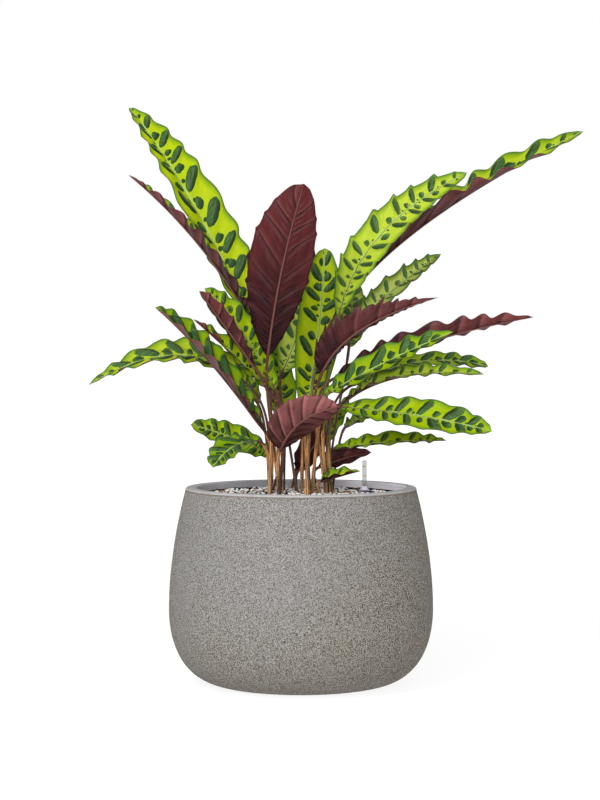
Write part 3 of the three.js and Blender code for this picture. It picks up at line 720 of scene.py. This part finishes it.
def under_face():
    f = new_finish("leaf_under_face")
    b = blade_readings(f)
    b.place = b.place + (f.grain(b.flat, 0.8, 2) - 0.5) * 0.05
    main_pleat, side_pleat = ribs_under_veins(f, b)
    fibres = drawn_out(f, b, 0.8, 0.06, b.seed * 5 + b.left)
    patches = f.grain(b.flat, 0.7, 3, 0.55)
    # darker towards the base, painted shade
    shade = patches * 0.8 + fibres * 0.35 + (b.along - 0.5) * 0.6 - 0.1
    colour = f.blend(f.step(shade, 0.15, 0.8), MAROON_DARK, MAROON)
    # Painted light and shade on the pleats: the tip side of each main vein lighter, the base side
    # darker, and the side pleats' valleys darker. strength sets how much, more towards the tip.
    strength = f.maths("MINIMUM", b.bloom + f.step(b.along, 0.15, 0.95), 1)
    strength = strength * f.step(b.out, 1.04, 0.85)
    beside = from_nearest(f, b.place)
    lit = f.step(beside, 0.34, 0.03) * (beside > 0) + f.step(beside, -0.06, 0) * (beside < 0)
    shadow = f.step(beside, -0.34, -0.06) * (beside < 0)
    # bloom mixes the underside's own lightness, set leaf by leaf partly as painted light, with the
    # painted light on the lit flanks
    bloom = b.bloom * (0.26 + (shade - 0.5) * 0.6) + lit * (0.16 + b.bloom * 0.22) * strength
    colour = f.blend(bloom, colour, MAROON_PALE)
    side_valley_shade = f.step(side_pleat, 0.35, 0.0) * f.step(b.out, 0.5, 0.2) * 0.2
    colour = f.blend(shadow * strength * 0.55 + side_valley_shade, colour, MAROON_DARK)
    height = main_pleat + side_pleat * 0.35 + fibres * 0.12
    return f.surface(colour, 0.42 + (fibres - 0.5) * 0.2, 0.12, f.relief(height, 2.2))


def stalk_skin():
    f = new_finish("stalk_skin")
    run, turn_x, turn_y = f.parts(f.attribute("run"))
    seed = f.parts(f.attribute("leaf"))[2]
    fibres = f.grain(f.joined(run * 0.02, turn_x * 1.4 + seed * 5, turn_y * 1.4), 1.6, 4, 0.65)
    luck = f.chance(f.joined(seed, 3.0, 1.0))
    green = f.step(turn_x + fibres * 1.2 + luck[0] * 1.4, 1.5, 2.1) * f.step(run, -30, -60)
    colour = f.blend(f.step(fibres, 0.3, 0.7), paint(58, 28, 26), paint(112, 62, 48))
    colour = f.blend(green * 0.85, colour, paint(98, 118, 28))
    ring = f.step(abs(run + PULVINUS["ring"]), PULVINUS["ring_width"], 0.6)
    colour = f.blend(ring * 0.55, colour, paint(164, 96, 66))
    rib = f.step(run, 0, 12)
    colour = f.blend(rib * 0.8, colour, f.blend(fibres, paint(74, 38, 34), paint(122, 80, 70)))
    return f.surface(colour, 0.45, 0.4, f.relief(fibres, 0.3))


def dry_sheath():
    f = new_finish("dry_sheath")
    run, turn_x, turn_y = f.parts(f.attribute("run"))
    seed = f.parts(f.attribute("leaf"))[2]
    fibres = f.grain(f.joined(run * 0.01, turn_x * 3 + seed * 3, turn_y * 3), 2.0, 5, 0.7)
    broad = f.grain(f.joined(run * 0.03, turn_x + seed, turn_y), 0.9, 3)
    colour = f.blend(f.step(fibres, 0.41, 0.5), paint(66, 32, 26), paint(214, 144, 82))
    # the palest streaks, partly the sheath's own colour and partly painted highlight
    colour = f.blend(f.step(fibres, 0.52, 0.6), colour, paint(250, 208, 150))
    luck = f.chance(f.joined(seed, 5.0, 2.0))
    flecks = f.step(broad, 0.48, 0.56) * f.step(fibres, 0.6, 0.48)
    low = f.step(run, 66, 40) * (luck[0] > 0.4) * f.step(fibres, 0.6, 0.52)
    colour = f.blend(larger(f, flecks, low) * 0.9, colour, paint(56, 26, 30))
    return f.surface(colour, 0.7, 0.25, f.relief(fibres, 0.8))


def concrete():
    """Rough and wrinkled outside, smooth on the rim and inside."""
    f = new_finish("fibre_concrete")
    place = f.object_place()
    smooth = f.parts(f.attribute("skin"))[0]
    across, _, height = f.parts(place)
    grain = f.grain(place, 940, 0)
    coarse = f.grain(place, 240, 2, 0.5)
    cloud = f.grain(place, 7, 3)
    towards_foot = f.step(height, 0.16, 0.0)
    painted_shade_right = f.step(across, 0.0, 0.17)
    # The brown share grows in clouds and towards the foot, and towards the right side, where it is
    # painted shade.
    brown = f.step(cloud * 0.5 + towards_foot * 0.3 + painted_shade_right * 0.3, 0.2, 0.6)
    wrinkles = grain * 0.92 + coarse * 0.08
    valleys = f.blend(brown, paint(96, 88, 78), paint(72, 58, 38))
    dots = f.blend(brown, paint(155, 154, 153), paint(158, 154, 147))
    rough = f.blend(f.step(wrinkles, 0.4, 0.53), valleys, dots)
    mottle = f.step(f.grain(place, 70, 4, 0.6), 0.3, 0.7)
    plain = f.blend(mottle, paint(158, 155, 156), paint(170, 167, 168))
    # Painted light and shade: the inside is darker towards the left and lighter towards the right.
    inside = f.blend(f.step(across, -0.08, 0.12), paint(206, 205, 212), paint(242, 240, 247))
    plain = f.blend(smooth - 1, plain, inside)
    colour = f.blend(f.maths("MINIMUM", smooth, 1), rough, plain)
    rim_line = f.step(abs(height - RIM_LINE["height"] * MM), RIM_LINE["width"] * MM, 0)
    colour = f.blend(rim_line * (1 - smooth) * 0.6, colour, paint(112, 96, 78))
    return f.surface(colour, 0.88 - smooth * 0.2, 0.25, f.relief(wrinkles * (1 - smooth), 1.6))


def damp_mix():
    f = new_finish("damp_mix")
    crumb = f.grain(f.object_place(), 420, 4, 0.7)
    colour = f.blend(f.step(crumb, 0.35, 0.7), paint(18, 13, 11), paint(50, 37, 30))
    return f.surface(colour, 0.9, 0.2, f.relief(crumb, 1.2))


STONE_COLOURS = [
    (0.0, paint(96, 70, 62)),
    (0.06, paint(206, 150, 104)),
    (0.11, paint(246, 222, 200)),
    (0.24, paint(255, 246, 234)),
    (0.5, paint(255, 255, 252)),
    (0.78, paint(214, 244, 250)),
    (0.9, paint(255, 255, 255)),
]


def small_stones():
    f = new_finish("small_stones")
    pick, tone, above = f.parts(f.attribute("stone"))
    mottle = f.grain(f.object_place(), 500, 3, 0.6)
    colour = f.node("ValToRGB", {"stops": STONE_COLOURS}, {"Fac": pick})
    f.tree.nodes["Color Ramp"].color_ramp.interpolation = "CONSTANT"
    colour = f.blend(f.step(mottle, 0.5, 0.8) * 0.12, colour, paint(200, 180, 160))
    colour = f.blend(tone * 0.05, colour, paint(120, 100, 90))
    # Painted shade: a stone sunk low in the bed, and the lower part of every stone, is darker.
    level = GRANULES["top"] * MM
    painted_shade_low = f.step(f.height(), level - 0.5 * MM, level - 2 * MM)
    colour = f.blend(larger(f, painted_shade_low, f.step(above, 0.6, 0.2)) * 0.96, colour, paint(30, 22, 20))
    return f.surface(colour, 0.6, 0.4, f.relief(mottle, 0.3))


def clear_plastic():
    return new_finish("clear_plastic").surface(paint(180, 180, 186), 0.25, alpha=0.22)


def smoky_plastic():
    """Pale towards the top of the cone, dark at the collar."""
    f = new_finish("smoky_plastic")
    low = GAUGE["seat"] + GAUGE["collar_height"]
    share = f.step(f.height(), (low - 0.4) * MM, (low + 1) * MM)
    return f.surface(f.blend(share, paint(96, 88, 108), paint(232, 228, 244)), 0.16, alpha=0.92)


def red_float(low, height):
    """Dark red below and orange on top."""
    f = new_finish("red_float")
    share = f.step(f.height(), (low + height * 0.5) * MM, (low + height * 0.85) * MM)
    return f.surface(f.blend(share, paint(160, 0, 0), paint(250, 130, 0)), 0.6)


def plain_finish(name, colour, roughness):
    return new_finish(name).surface(colour, roughness)


# Meshes

def new_mesh(name, bm):
    mesh = bpy.data.meshes.new(name)
    bm.to_mesh(mesh)
    bm.free()
    return mesh


def new_object(name, data):
    made = bpy.data.objects.new(name, data)
    bpy.context.scene.collection.objects.link(made)
    return made


def piece(name, bm, materials, replaced=()):
    """Makes a finished piece, which rides with the planter and stands for its CAD nodes."""
    mesh = new_mesh(name, bm)
    for material in materials:
        mesh.materials.append(material)
    mesh.shade_smooth()
    made = new_object(name, mesh)
    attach(made, "root")
    if replaced:
        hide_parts(*replaced)


def across_share(step):
    """The grid's even steps across, drawn closer together near the midrib."""
    size = abs(step)
    return math.copysign(0.5 * size + 0.5 * size**1.7, step)


def add_blade(bm, leaf, layers):
    grid = bmesh.ops.create_grid(
        bm, x_segments=leaf.waves * BLADE["steps_per_wave"], y_segments=BLADE["steps_across"], size=1)
    for vert in grid["verts"]:
        along = (vert.co.x + 1) / 2
        across = across_share(-vert.co.y)
        vert[layers["blade"]] = (leaf.wave_place(along), across, leaf.half_width(along))
        vert[layers["leaf"]] = (leaf.pitch(along), 0, 0)
        vert[layers["run"]] = (along * rib_length(leaf), along, math.radians(leaf.slant))
        vert.co = blade_point(leaf, along, across) * MM
    bmesh.ops.remove_doubles(bm, verts=grid["verts"], dist=MERGE)
    upper = set(bm.faces)
    bmesh.ops.solidify(bm, geom=bm.faces[:], thickness=BLADE["thickness"] * MM)
    for face in bm.faces:
        face.material_index = 0 if face in upper else 1


def put_round(vert, layers, section, turn):
    """Puts a vertex on a round section: its centre, two ways across it, its radius and its run."""
    centre, normal, side, radius, run = section
    vert[layers["run"]] = (run, math.cos(turn), math.sin(turn))
    vert.co = (centre + (side * math.cos(turn) + normal * math.sin(turn)) * radius) * MM


def rib_and_stalk_section(leaf, share):
    """A section of the stalk, or from half way on of the rib under the blade, up to the tip."""
    if share < 0.5:
        stalk = share * 2
        centre, _, normal, side = stalk_section(leaf, stalk)
        run = -(1 - stalk) * stalk_length(leaf)
        swelling = PULVINUS["swelling"] * max(0, min(1, (run + PULVINUS["length"]) / 3))
        past_ring = (run + PULVINUS["ring"]) / PULVINUS["ring_width"]
        ring = PULVINUS["ring_height"] * math.exp(-past_ring ** 2)
        radius = stalk_radius(leaf, stalk) + swelling + ring
        return centre, normal, side, radius if share else 0, run
    along = share * 2 - 1
    centre, _, normal, side = midrib(leaf, along)
    start = min(1, along / RIB["start"])
    swollen = STALK["radius"] + PULVINUS["swelling"]
    radius = (1 - start) * swollen + start * (RIB["radius"] - RIB["taper"] * along)
    sunk = start * (radius * RIB["sunk"])
    return centre - normal * sunk, normal, side, radius if share < 1 else 0, along * rib_length(leaf)


def add_stalk(bm, leaf, layers):
    grid = bmesh.ops.create_grid(bm, x_segments=96, y_segments=10, size=1)
    for vert in grid["verts"]:
        section = rib_and_stalk_section(leaf, (vert.co.x + 1) / 2)
        put_round(vert, layers, section, math.pi * (vert.co.y + 1))
    bmesh.ops.remove_doubles(bm, verts=grid["verts"], dist=MERGE)


def add_sheath(bm, leaf, layers, top, wrap, draw):
    """A papery scroll round the lower stalk, torn along its upper end. top is its height."""
    grid = bmesh.ops.create_grid(bm, x_segments=22, y_segments=18, size=1)
    start_turn = draw.uniform(0, 2 * math.pi)
    tear = draw.uniform(0, 50)
    length = stalk_length(leaf)
    for vert in grid["verts"]:
        height = (vert.co.x + 1) / 2
        round_share = (vert.co.y + 1) / 2
        turn = start_turn + round_share * math.pi * 2 * SHEATH["turns"]
        torn = noise.noise(Vector((round_share * 5, tear, 0))) * 0.3
        torn += noise.noise(Vector((round_share * 17, tear, 4))) * 0.12
        share = min(SHEATH["highest"], height * top / length * (1 + torn * height))
        centre, _, normal, side = stalk_section(leaf, share)
        loose = 0.1 + wrap * (0.1 + 0.2 * round_share) + 0.5 * height**6
        loose += 0.2 * noise.noise(Vector((turn * 1.3, share * 14, tear)))
        radius = stalk_radius(leaf, share) + loose
        put_round(vert, layers, (centre, normal, side, radius, share * length), turn)


def other_faces(bm, made):
    """The faces that have come since made was listed."""
    return [face for face in bm.faces if face not in made]


def make_leaf(leaf, index, materials):
    draw = Random(100 + index)
    bm = bmesh.new()
    names = ("blade", "leaf", "look", "run")
    layers = {name: bm.verts.layers.float_vector.new(name) for name in names}
    add_blade(bm, leaf, layers)
    made = set(bm.faces)
    add_stalk(bm, leaf, layers)
    bmesh.ops.recalc_face_normals(bm, faces=other_faces(bm, made))
    for face in other_faces(bm, made):
        face.material_index = 2
    sheaths = ()
    if leaf.foot_radius >= SHEATH["least_foot"]:
        sheaths = ((draw.uniform(84, 124), 0.5), (draw.uniform(38, 70), 1.1))
    for top, wrap in sheaths:
        made = set(bm.faces)
        add_sheath(bm, leaf, layers, top, wrap, draw)
        bmesh.ops.solidify(bm, geom=other_faces(bm, made), thickness=SHEATH["thickness"] * MM)
        for face in other_faces(bm, made):
            face.material_index = 3
    for vert in bm.verts:
        pitch = vert[layers["leaf"]].x
        vert[layers["leaf"]] = (pitch, leaf.tone, index * 0.37)
        vert[layers["look"]] = (leaf.spot, leaf.pale, leaf.bloom)
    node = "leaf_" + leaf.name
    piece(node + "_fine", bm, materials, [node])


# Planter, planting mix, granules and gauge

def curve_points(corners, steps):
    corners = [Vector(corner) for corner in corners]
    return [tuple(on_curve(corners, step / steps)[0]) for step in range(steps + 1)]


def arc_points(middle, radius, start, end, steps):
    """Points of a round edge, from one angle in degrees to another."""
    x, y = middle
    turns = [math.radians(start + (end - start) * step / steps) for step in range(steps + 1)]
    return [(x + radius * math.cos(turn), y + radius * math.sin(turn)) for turn in turns]


def line_points(start, end, steps):
    """The points between two ends, without the ends."""
    return [tuple(Vector(start).lerp(Vector(end), step / steps)) for step in range(1, steps)]


def outer_wall():
    """Radius and height up the planter's outside: a full round belly that draws in to the rim."""
    p = PLANTER
    belly = curve_points(
        [(p["base_radius"], 0), (p["base_radius"] + p["base_pull"], 0),
         (p["belly_radius"], p["belly_pull_low"]), (p["belly_radius"], p["belly_height"])], 40)
    shoulder = curve_points(
        [(p["belly_radius"], p["belly_height"]), (p["belly_radius"], p["belly_pull_high"]),
         p["shoulder_pull"], (p["rim_radius"], p["height"] - p["rim_round"])], 60)
    return belly + shoulder[1:]


def inner_wall(inset, steps):
    """Radius and height from the planter's neck down to its floor."""
    p = PLANTER
    hollow = p["hollow_radius"] - inset
    return curve_points(
        [(p["mouth_radius"] - inset, p["height"] - p["mouth_depth"]),
         (hollow, p["hollow_pull_high"]), (hollow, p["hollow_pull_low"]),
         (p["floor_radius"], p["floor"] + inset)], steps)


def add_turned(bm, profile, sides, middle=(0, 0)):
    """A skin turned about an upright line, from its profile of radius and height.

    The profile runs up the outside, and its ends are on the line or meet. Gives each vertex's place
    in the profile."""
    grid = bmesh.ops.create_grid(bm, x_segments=len(profile) - 1, y_segments=sides, size=1)
    rows = {}
    for vert in grid["verts"]:
        row = round((vert.co.x + 1) / 2 * (len(profile) - 1))
        radius, height = profile[row]
        turn = math.pi * (vert.co.y + 1)
        x = middle[0] + radius * math.cos(turn)
        y = middle[1] + radius * math.sin(turn)
        vert.co = Vector((x, y, height)) * MM
        rows[vert] = row
    faces = list({face for vert in grid["verts"] for face in vert.link_faces})
    bmesh.ops.remove_doubles(bm, verts=grid["verts"], dist=MERGE)
    faces = [face for face in faces if face.is_valid]
    bmesh.ops.recalc_face_normals(bm, faces=faces)
    return {vert: row for vert, row in rows.items() if vert.is_valid}


def make_planter():
    p = PLANTER
    rim = p["rim_round"]
    mouth = p["mouth_round"]
    outside = outer_wall()
    outer_edge = arc_points((p["rim_radius"] - rim, p["height"] - rim), rim, 12, 90, 6)
    inner_edge = arc_points((p["mouth_radius"] + mouth, p["height"] - mouth), mouth, 90, 180, 5)
    neck = inner_wall(0, 18)
    top = line_points(outer_edge[-1], inner_edge[0], 4)
    throat = line_points(inner_edge[-1], neck[0], 6)
    profile = [(0, 0), *outside, *outer_edge, *top, *inner_edge, *throat, *neck, (0, p["floor"])]
    bm = bmesh.new()
    skin = bm.verts.layers.float_vector.new("skin")
    rows = add_turned(bm, profile, 360)
    for vert, row in rows.items():
        smooth = row > len(outside)
        inside = row > len(outside) + len(outer_edge) + 4
        vert[skin] = (smooth + inside, 0, 0)
        if not smooth and vert.co.z > 0:
            dents = noise.noise(vert.co * 140) * 0.6 + noise.noise(vert.co * 45) * 0.4
            vert.co -= vert.normal * (p["dent"] + p["dent"] * dents) * MM
    piece("planter_fine", bm, [concrete()], ["planter"])


def stalk_place(leaf, height):
    """Where a leaf's stalk passes a height."""
    share = 0
    while stalk_section(leaf, share)[0].z < height:
        share += 0.01
    return stalk_section(leaf, share)[0]


def stretched(x, y, z):
    return Matrix.Diagonal((x, y, z, 1))


def turned_about(draw, tilt):
    """A chance turn about the upright axis, of a body that is first tilted by up to that angle."""
    around = Matrix.Rotation(draw.uniform(0, 6.28), 4, "Z")
    return around @ Matrix.Rotation(draw.uniform(0, tilt), 4, "X")


def make_mix(draw):
    bm = bmesh.new()
    top, recess, recess_radius = MIX["top"], MIX["recess"], MIX["recess_radius"]
    outer = PLANTER["mouth_radius"] - GAP
    wall = inner_wall(GAP, 8)[::-1]
    ledge = line_points((outer, top), (recess_radius, top), 8)
    bed = line_points((recess_radius, recess), (0, recess), 30)
    profile = [
        (0, PLANTER["floor"] + GAP), *wall, (outer, top), *ledge, (recess_radius, top),
        (recess_radius, recess), *bed, (0, recess)]
    rows = add_turned(bm, profile, 120)
    for vert, row in rows.items():
        if row > len(wall) + 1:
            lumps = noise.noise(vert.co * 90) * 0.7 + noise.noise(vert.co * 260) * 0.5
            vert.co.z += lumps * MM
    for _ in range(MIX["crumbs"]):
        turn = draw.uniform(0, 2 * math.pi)
        distance = draw.uniform(*MIX["crumb_reach"])
        size = draw.uniform(*MIX["crumb_size"])
        height = top + draw.uniform(-0.5, 0.4)
        place = Vector((distance * math.cos(turn), distance * math.sin(turn), height))
        stretch = stretched(size * draw.uniform(0.8, 1.5), size, size * draw.uniform(0.6, 1))
        turned = turned_about(draw, 3)
        bmesh.ops.create_icosphere(
            bm, subdivisions=1, radius=MM, matrix=Matrix.Translation(place * MM) @ turned @ stretch)
    piece("planting_mix_fine", bm, [damp_mix()], ["planting_mix"])


def stone_meshes(draw, count):
    """A few small rounded stones about 1 mm in radius, to be copied."""
    stones = []
    for _ in range(count):
        bm = bmesh.new()
        cube = bmesh.ops.create_cube(bm, size=2)
        edges = list({edge for vert in cube["verts"] for edge in vert.link_edges})
        bmesh.ops.subdivide_edges(bm, edges=edges, cuts=1, use_grid_fill=True)
        for vert in bm.verts:
            vert.co = vert.co.normalized() * draw.uniform(0.82, 1.14)
        stones.append(new_mesh("stone", bm))
    return stones


def add_stones(bm, draw):
    """Strews the loose stones, and writes each one's chance numbers on it, with each point's height on
    the stone for the painted shade on its lower part.
    """
    stones = stone_meshes(draw, 8)
    gauge = Vector((GAUGE["x"], GAUGE["y"]))
    keep_out = []
    for leaf in LEAVES:
        stalk = stalk_place(leaf, GRANULES["top"])
        keep_out.append((Vector((stalk.x, stalk.y)), GRANULES["stalk_room"]))
    for step in range(0, GAUGE["bare_lane"], 4):
        keep_out.append((gauge - Vector((0, step)), GAUGE["collar_radius"] + 1))
    pitch = GRANULES["pitch"]
    reach = round(GRANULES["radius"] / pitch) + 2
    tallies = []
    for row in range(-reach, reach + 1):
        for column in range(-reach, reach + 1):
            jitter = Vector((draw.uniform(-0.35, 0.35), draw.uniform(-0.35, 0.35)))
            place = Vector((column + 0.5 * (row % 2), row * 0.866)) * pitch + jitter * pitch
            ragged = 5 * noise.noise(Vector((*place.normalized() * 4, 0)))
            inside = GRANULES["radius"] + ragged - place.length
            size = draw.uniform(GRANULES["small"], GRANULES["large"])
            lift = draw.uniform(-0.4, 1) if draw.random() < 0.5 else draw.uniform(-4, -2)
            lift -= 2 * max(0, 1 - (place - gauge).length / 30)
            pick = draw.random()
            tone = draw.random()
            turned = turned_about(draw, 6.28)
            stretch = stretched(size * draw.uniform(0.9, 1.15), size, size * draw.uniform(0.8, 1))
            stone = stones[draw.randrange(len(stones))]
            bare = any((place - middle).length < room + size * 0.5 for middle, room in keep_out)
            if bare or inside < draw.uniform(-2, 2):
                continue
            centre = Vector((*place, GRANULES["top"] - GRANULES["sunk"] + lift))
            whole = Matrix.Translation(centre * MM) @ turned @ stretch @ Matrix.Scale(MM, 4)
            stone.transform(whole)
            bm.from_mesh(stone)
            stone.transform(whole.inverted())
            tallies.append((pick, tone, centre.z, size))
    for stone in stones:
        bpy.data.meshes.remove(stone)
    shade = bm.verts.layers.float_vector.new("stone")
    corners = len(bm.verts) // len(tallies)
    for index, vert in enumerate(bm.verts):
        pick, tone, middle, size = tallies[index // corners]
        vert[shade] = (pick, tone, (vert.co.z / MM - middle) / size)


def granules_bed():
    """The dark lumpy layer that the loose stones lie on."""
    bm = bmesh.new()
    low = MIX["recess"] + GAP
    high = low + GRANULES["bed_thickness"]
    rings = line_points((GRANULES["radius"] - 1, high), (0, high), 40)
    add_turned(bm, [(0, low), (GRANULES["radius"], low), *rings, (0, high)], 90)
    for vert in bm.verts:
        if vert.co.z > (low + 1) * MM:
            vert.co.z += noise.noise(vert.co * 200) * 0.8 * MM
    return new_mesh("bed", bm)


def make_granules(draw):
    bm = bmesh.new()
    add_stones(bm, draw)
    made = set(bm.faces)
    bed = granules_bed()
    bm.from_mesh(bed)
    bpy.data.meshes.remove(bed)
    for face in other_faces(bm, made):
        face.material_index = 1
    piece("granules_fine", bm, [small_stones(), damp_mix()], ["granules"])


def gauge_part(node, finish, profile, sides):
    bm = bmesh.new()
    add_turned(bm, profile, sides, (GAUGE["x"], GAUGE["y"]))
    piece(node + "_fine", bm, [finish], [node])


def make_gauge():
    g = GAUGE
    seat = g["seat"]
    collar_top = seat + g["collar_height"]
    cone_top = collar_top + g["cone_height"]

    low, high = PLANTER["floor"] + GAP, seat - GAP
    shaft = [(0, low), (g["shaft_radius"], low), (g["shaft_radius"], high), (0, high)]
    grey = plain_finish("grey_plastic", paint(70, 70, 74), 0.5)
    gauge_part("gauge_shaft", grey, shaft, 24)

    collar = g["collar_radius"]
    collar_edge = arc_points((collar - 0.6, collar_top - 0.6), 0.6, 0, 90, 3)
    cone = curve_points(
        [(collar - 1.2, collar_top), (5.2, collar_top + 0.6), (3.8, cone_top - 2),
         (g["cone_radius"], cone_top)], 10)
    foot = [(0, seat), (collar, seat), *collar_edge, *cone, (0, cone_top)]
    gauge_part("gauge_foot", smoky_plastic(), foot, 48)

    low = cone_top + GAP
    top = g["tube_top"]
    cap = top - g["cap"]
    radius, bore = g["tube_radius"], g["bore"]
    edge = arc_points((radius - 0.8, top - 0.8), 0.8, 0, 90, 4)
    tube = [(bore, low), (radius, low), *edge, (0, top), (0, cap), (bore, cap), (bore, low)]
    gauge_part("gauge_tube", clear_plastic(), tube, 40)

    wide = g["float_radius"] * 1.3
    high = low + g["float_height"]
    bead = curve_points([(0, low), (wide, low), (wide, high), (0, high)], 12)
    gauge_part("gauge_float", red_float(low, g["float_height"]), bead, 20)

    bm = bmesh.new()
    size = stretched(*[side * MM for side in g["tick_size"]])
    for height in g["ticks"]:
        place = Vector((g["x"], g["y"] - g["tube_radius"] + 0.2, height))
        bmesh.ops.create_cube(bm, size=1, matrix=Matrix.Translation(place * MM) @ size)
    yellow = plain_finish("yellow_tick", paint(226, 196, 84), 0.5)
    piece("gauge_ticks", bm, [yellow])


# Stage, lights and camera

def add_camera():
    data = bpy.data.cameras.new("camera")
    data.sensor_width = CAMERA["sensor"]
    data.lens = CAMERA["sensor"] * CAMERA["focal_px"] / CAMERA["height_px"]
    data.clip_end = 200
    camera = new_object("camera", data)
    camera.location = Vector(CAMERA["place"]) * MM
    camera.rotation_euler = (math.radians(90 - CAMERA["pitch"]), 0, 0)
    bpy.context.scene.camera = camera


def add_floor():
    bm = bmesh.new()
    bmesh.ops.create_circle(bm, cap_ends=True, segments=64, radius=60)
    floor = new_object("floor", new_mesh("floor", bm))
    f = new_finish("pale_floor")
    distance = f.node("VectorMath", {"operation": "LENGTH"}, {0: f.object_place()}, "Value")
    shader = f.tree.nodes["Principled BSDF"]
    f.surface((0.86, 0.86, 0.86, 1), 0.7, 0.1)
    seen = f.node("LightPath", output="Is Camera Ray")
    glow = f.node("Emission", {}, {"Color": (1, 1, 1, 1), "Strength": 0.8 + seen * 0.3})
    share = 0.8 + f.step(distance, 0.3, 2.5) * 0.2
    mixed = f.node("MixShader", {}, {0: share, 1: Reading(f, shader.outputs[0]), 2: glow})
    f.feed(f.tree.nodes["Material Output"].inputs["Surface"], mixed)
    floor.data.materials.append(f.holder)


def add_light(name, place, size, power):
    data = bpy.data.lights.new(name, "AREA")
    data.shape = "DISK"
    data.size = size
    data.energy = power
    light = new_object(name, data)
    light.location = place
    target = Vector((0, 0, 0.35))
    light.rotation_euler = (target - light.location).to_track_quat("-Z", "Y").to_euler()


def add_world():
    world = bpy.data.worlds.new("studio")
    bpy.context.scene.world = world
    f = Finish(world)
    height = f.parts(f.node("TexCoord", output="Generated"))[2]
    lighting = f.blend(f.step(height, 0.1, 0.6), (0.62, 0.62, 0.62, 1), (0.6, 0.6, 0.6, 1))
    seen = f.node("LightPath", output="Is Camera Ray")
    f.feed(f.tree.nodes["Background"].inputs["Color"], f.blend(seen, lighting, (1, 1, 1, 1)))


add_camera()
add_world()
add_floor()
add_light("key", (-1.2, -2.4, 2.2), size=1, power=52)
add_light("front", (-0.3, -3, 1.1), size=1.2, power=46)
bpy.context.scene.view_settings.view_transform = "Standard"

make_planter()
make_mix(Random(7))
make_granules(Random(8))
make_gauge()
LEAF_FINISHES = [upper_face(), under_face(), stalk_skin(), dry_sheath()]
for index, leaf in enumerate(LEAVES):
    make_leaf(leaf, index, LEAF_FINISHES)
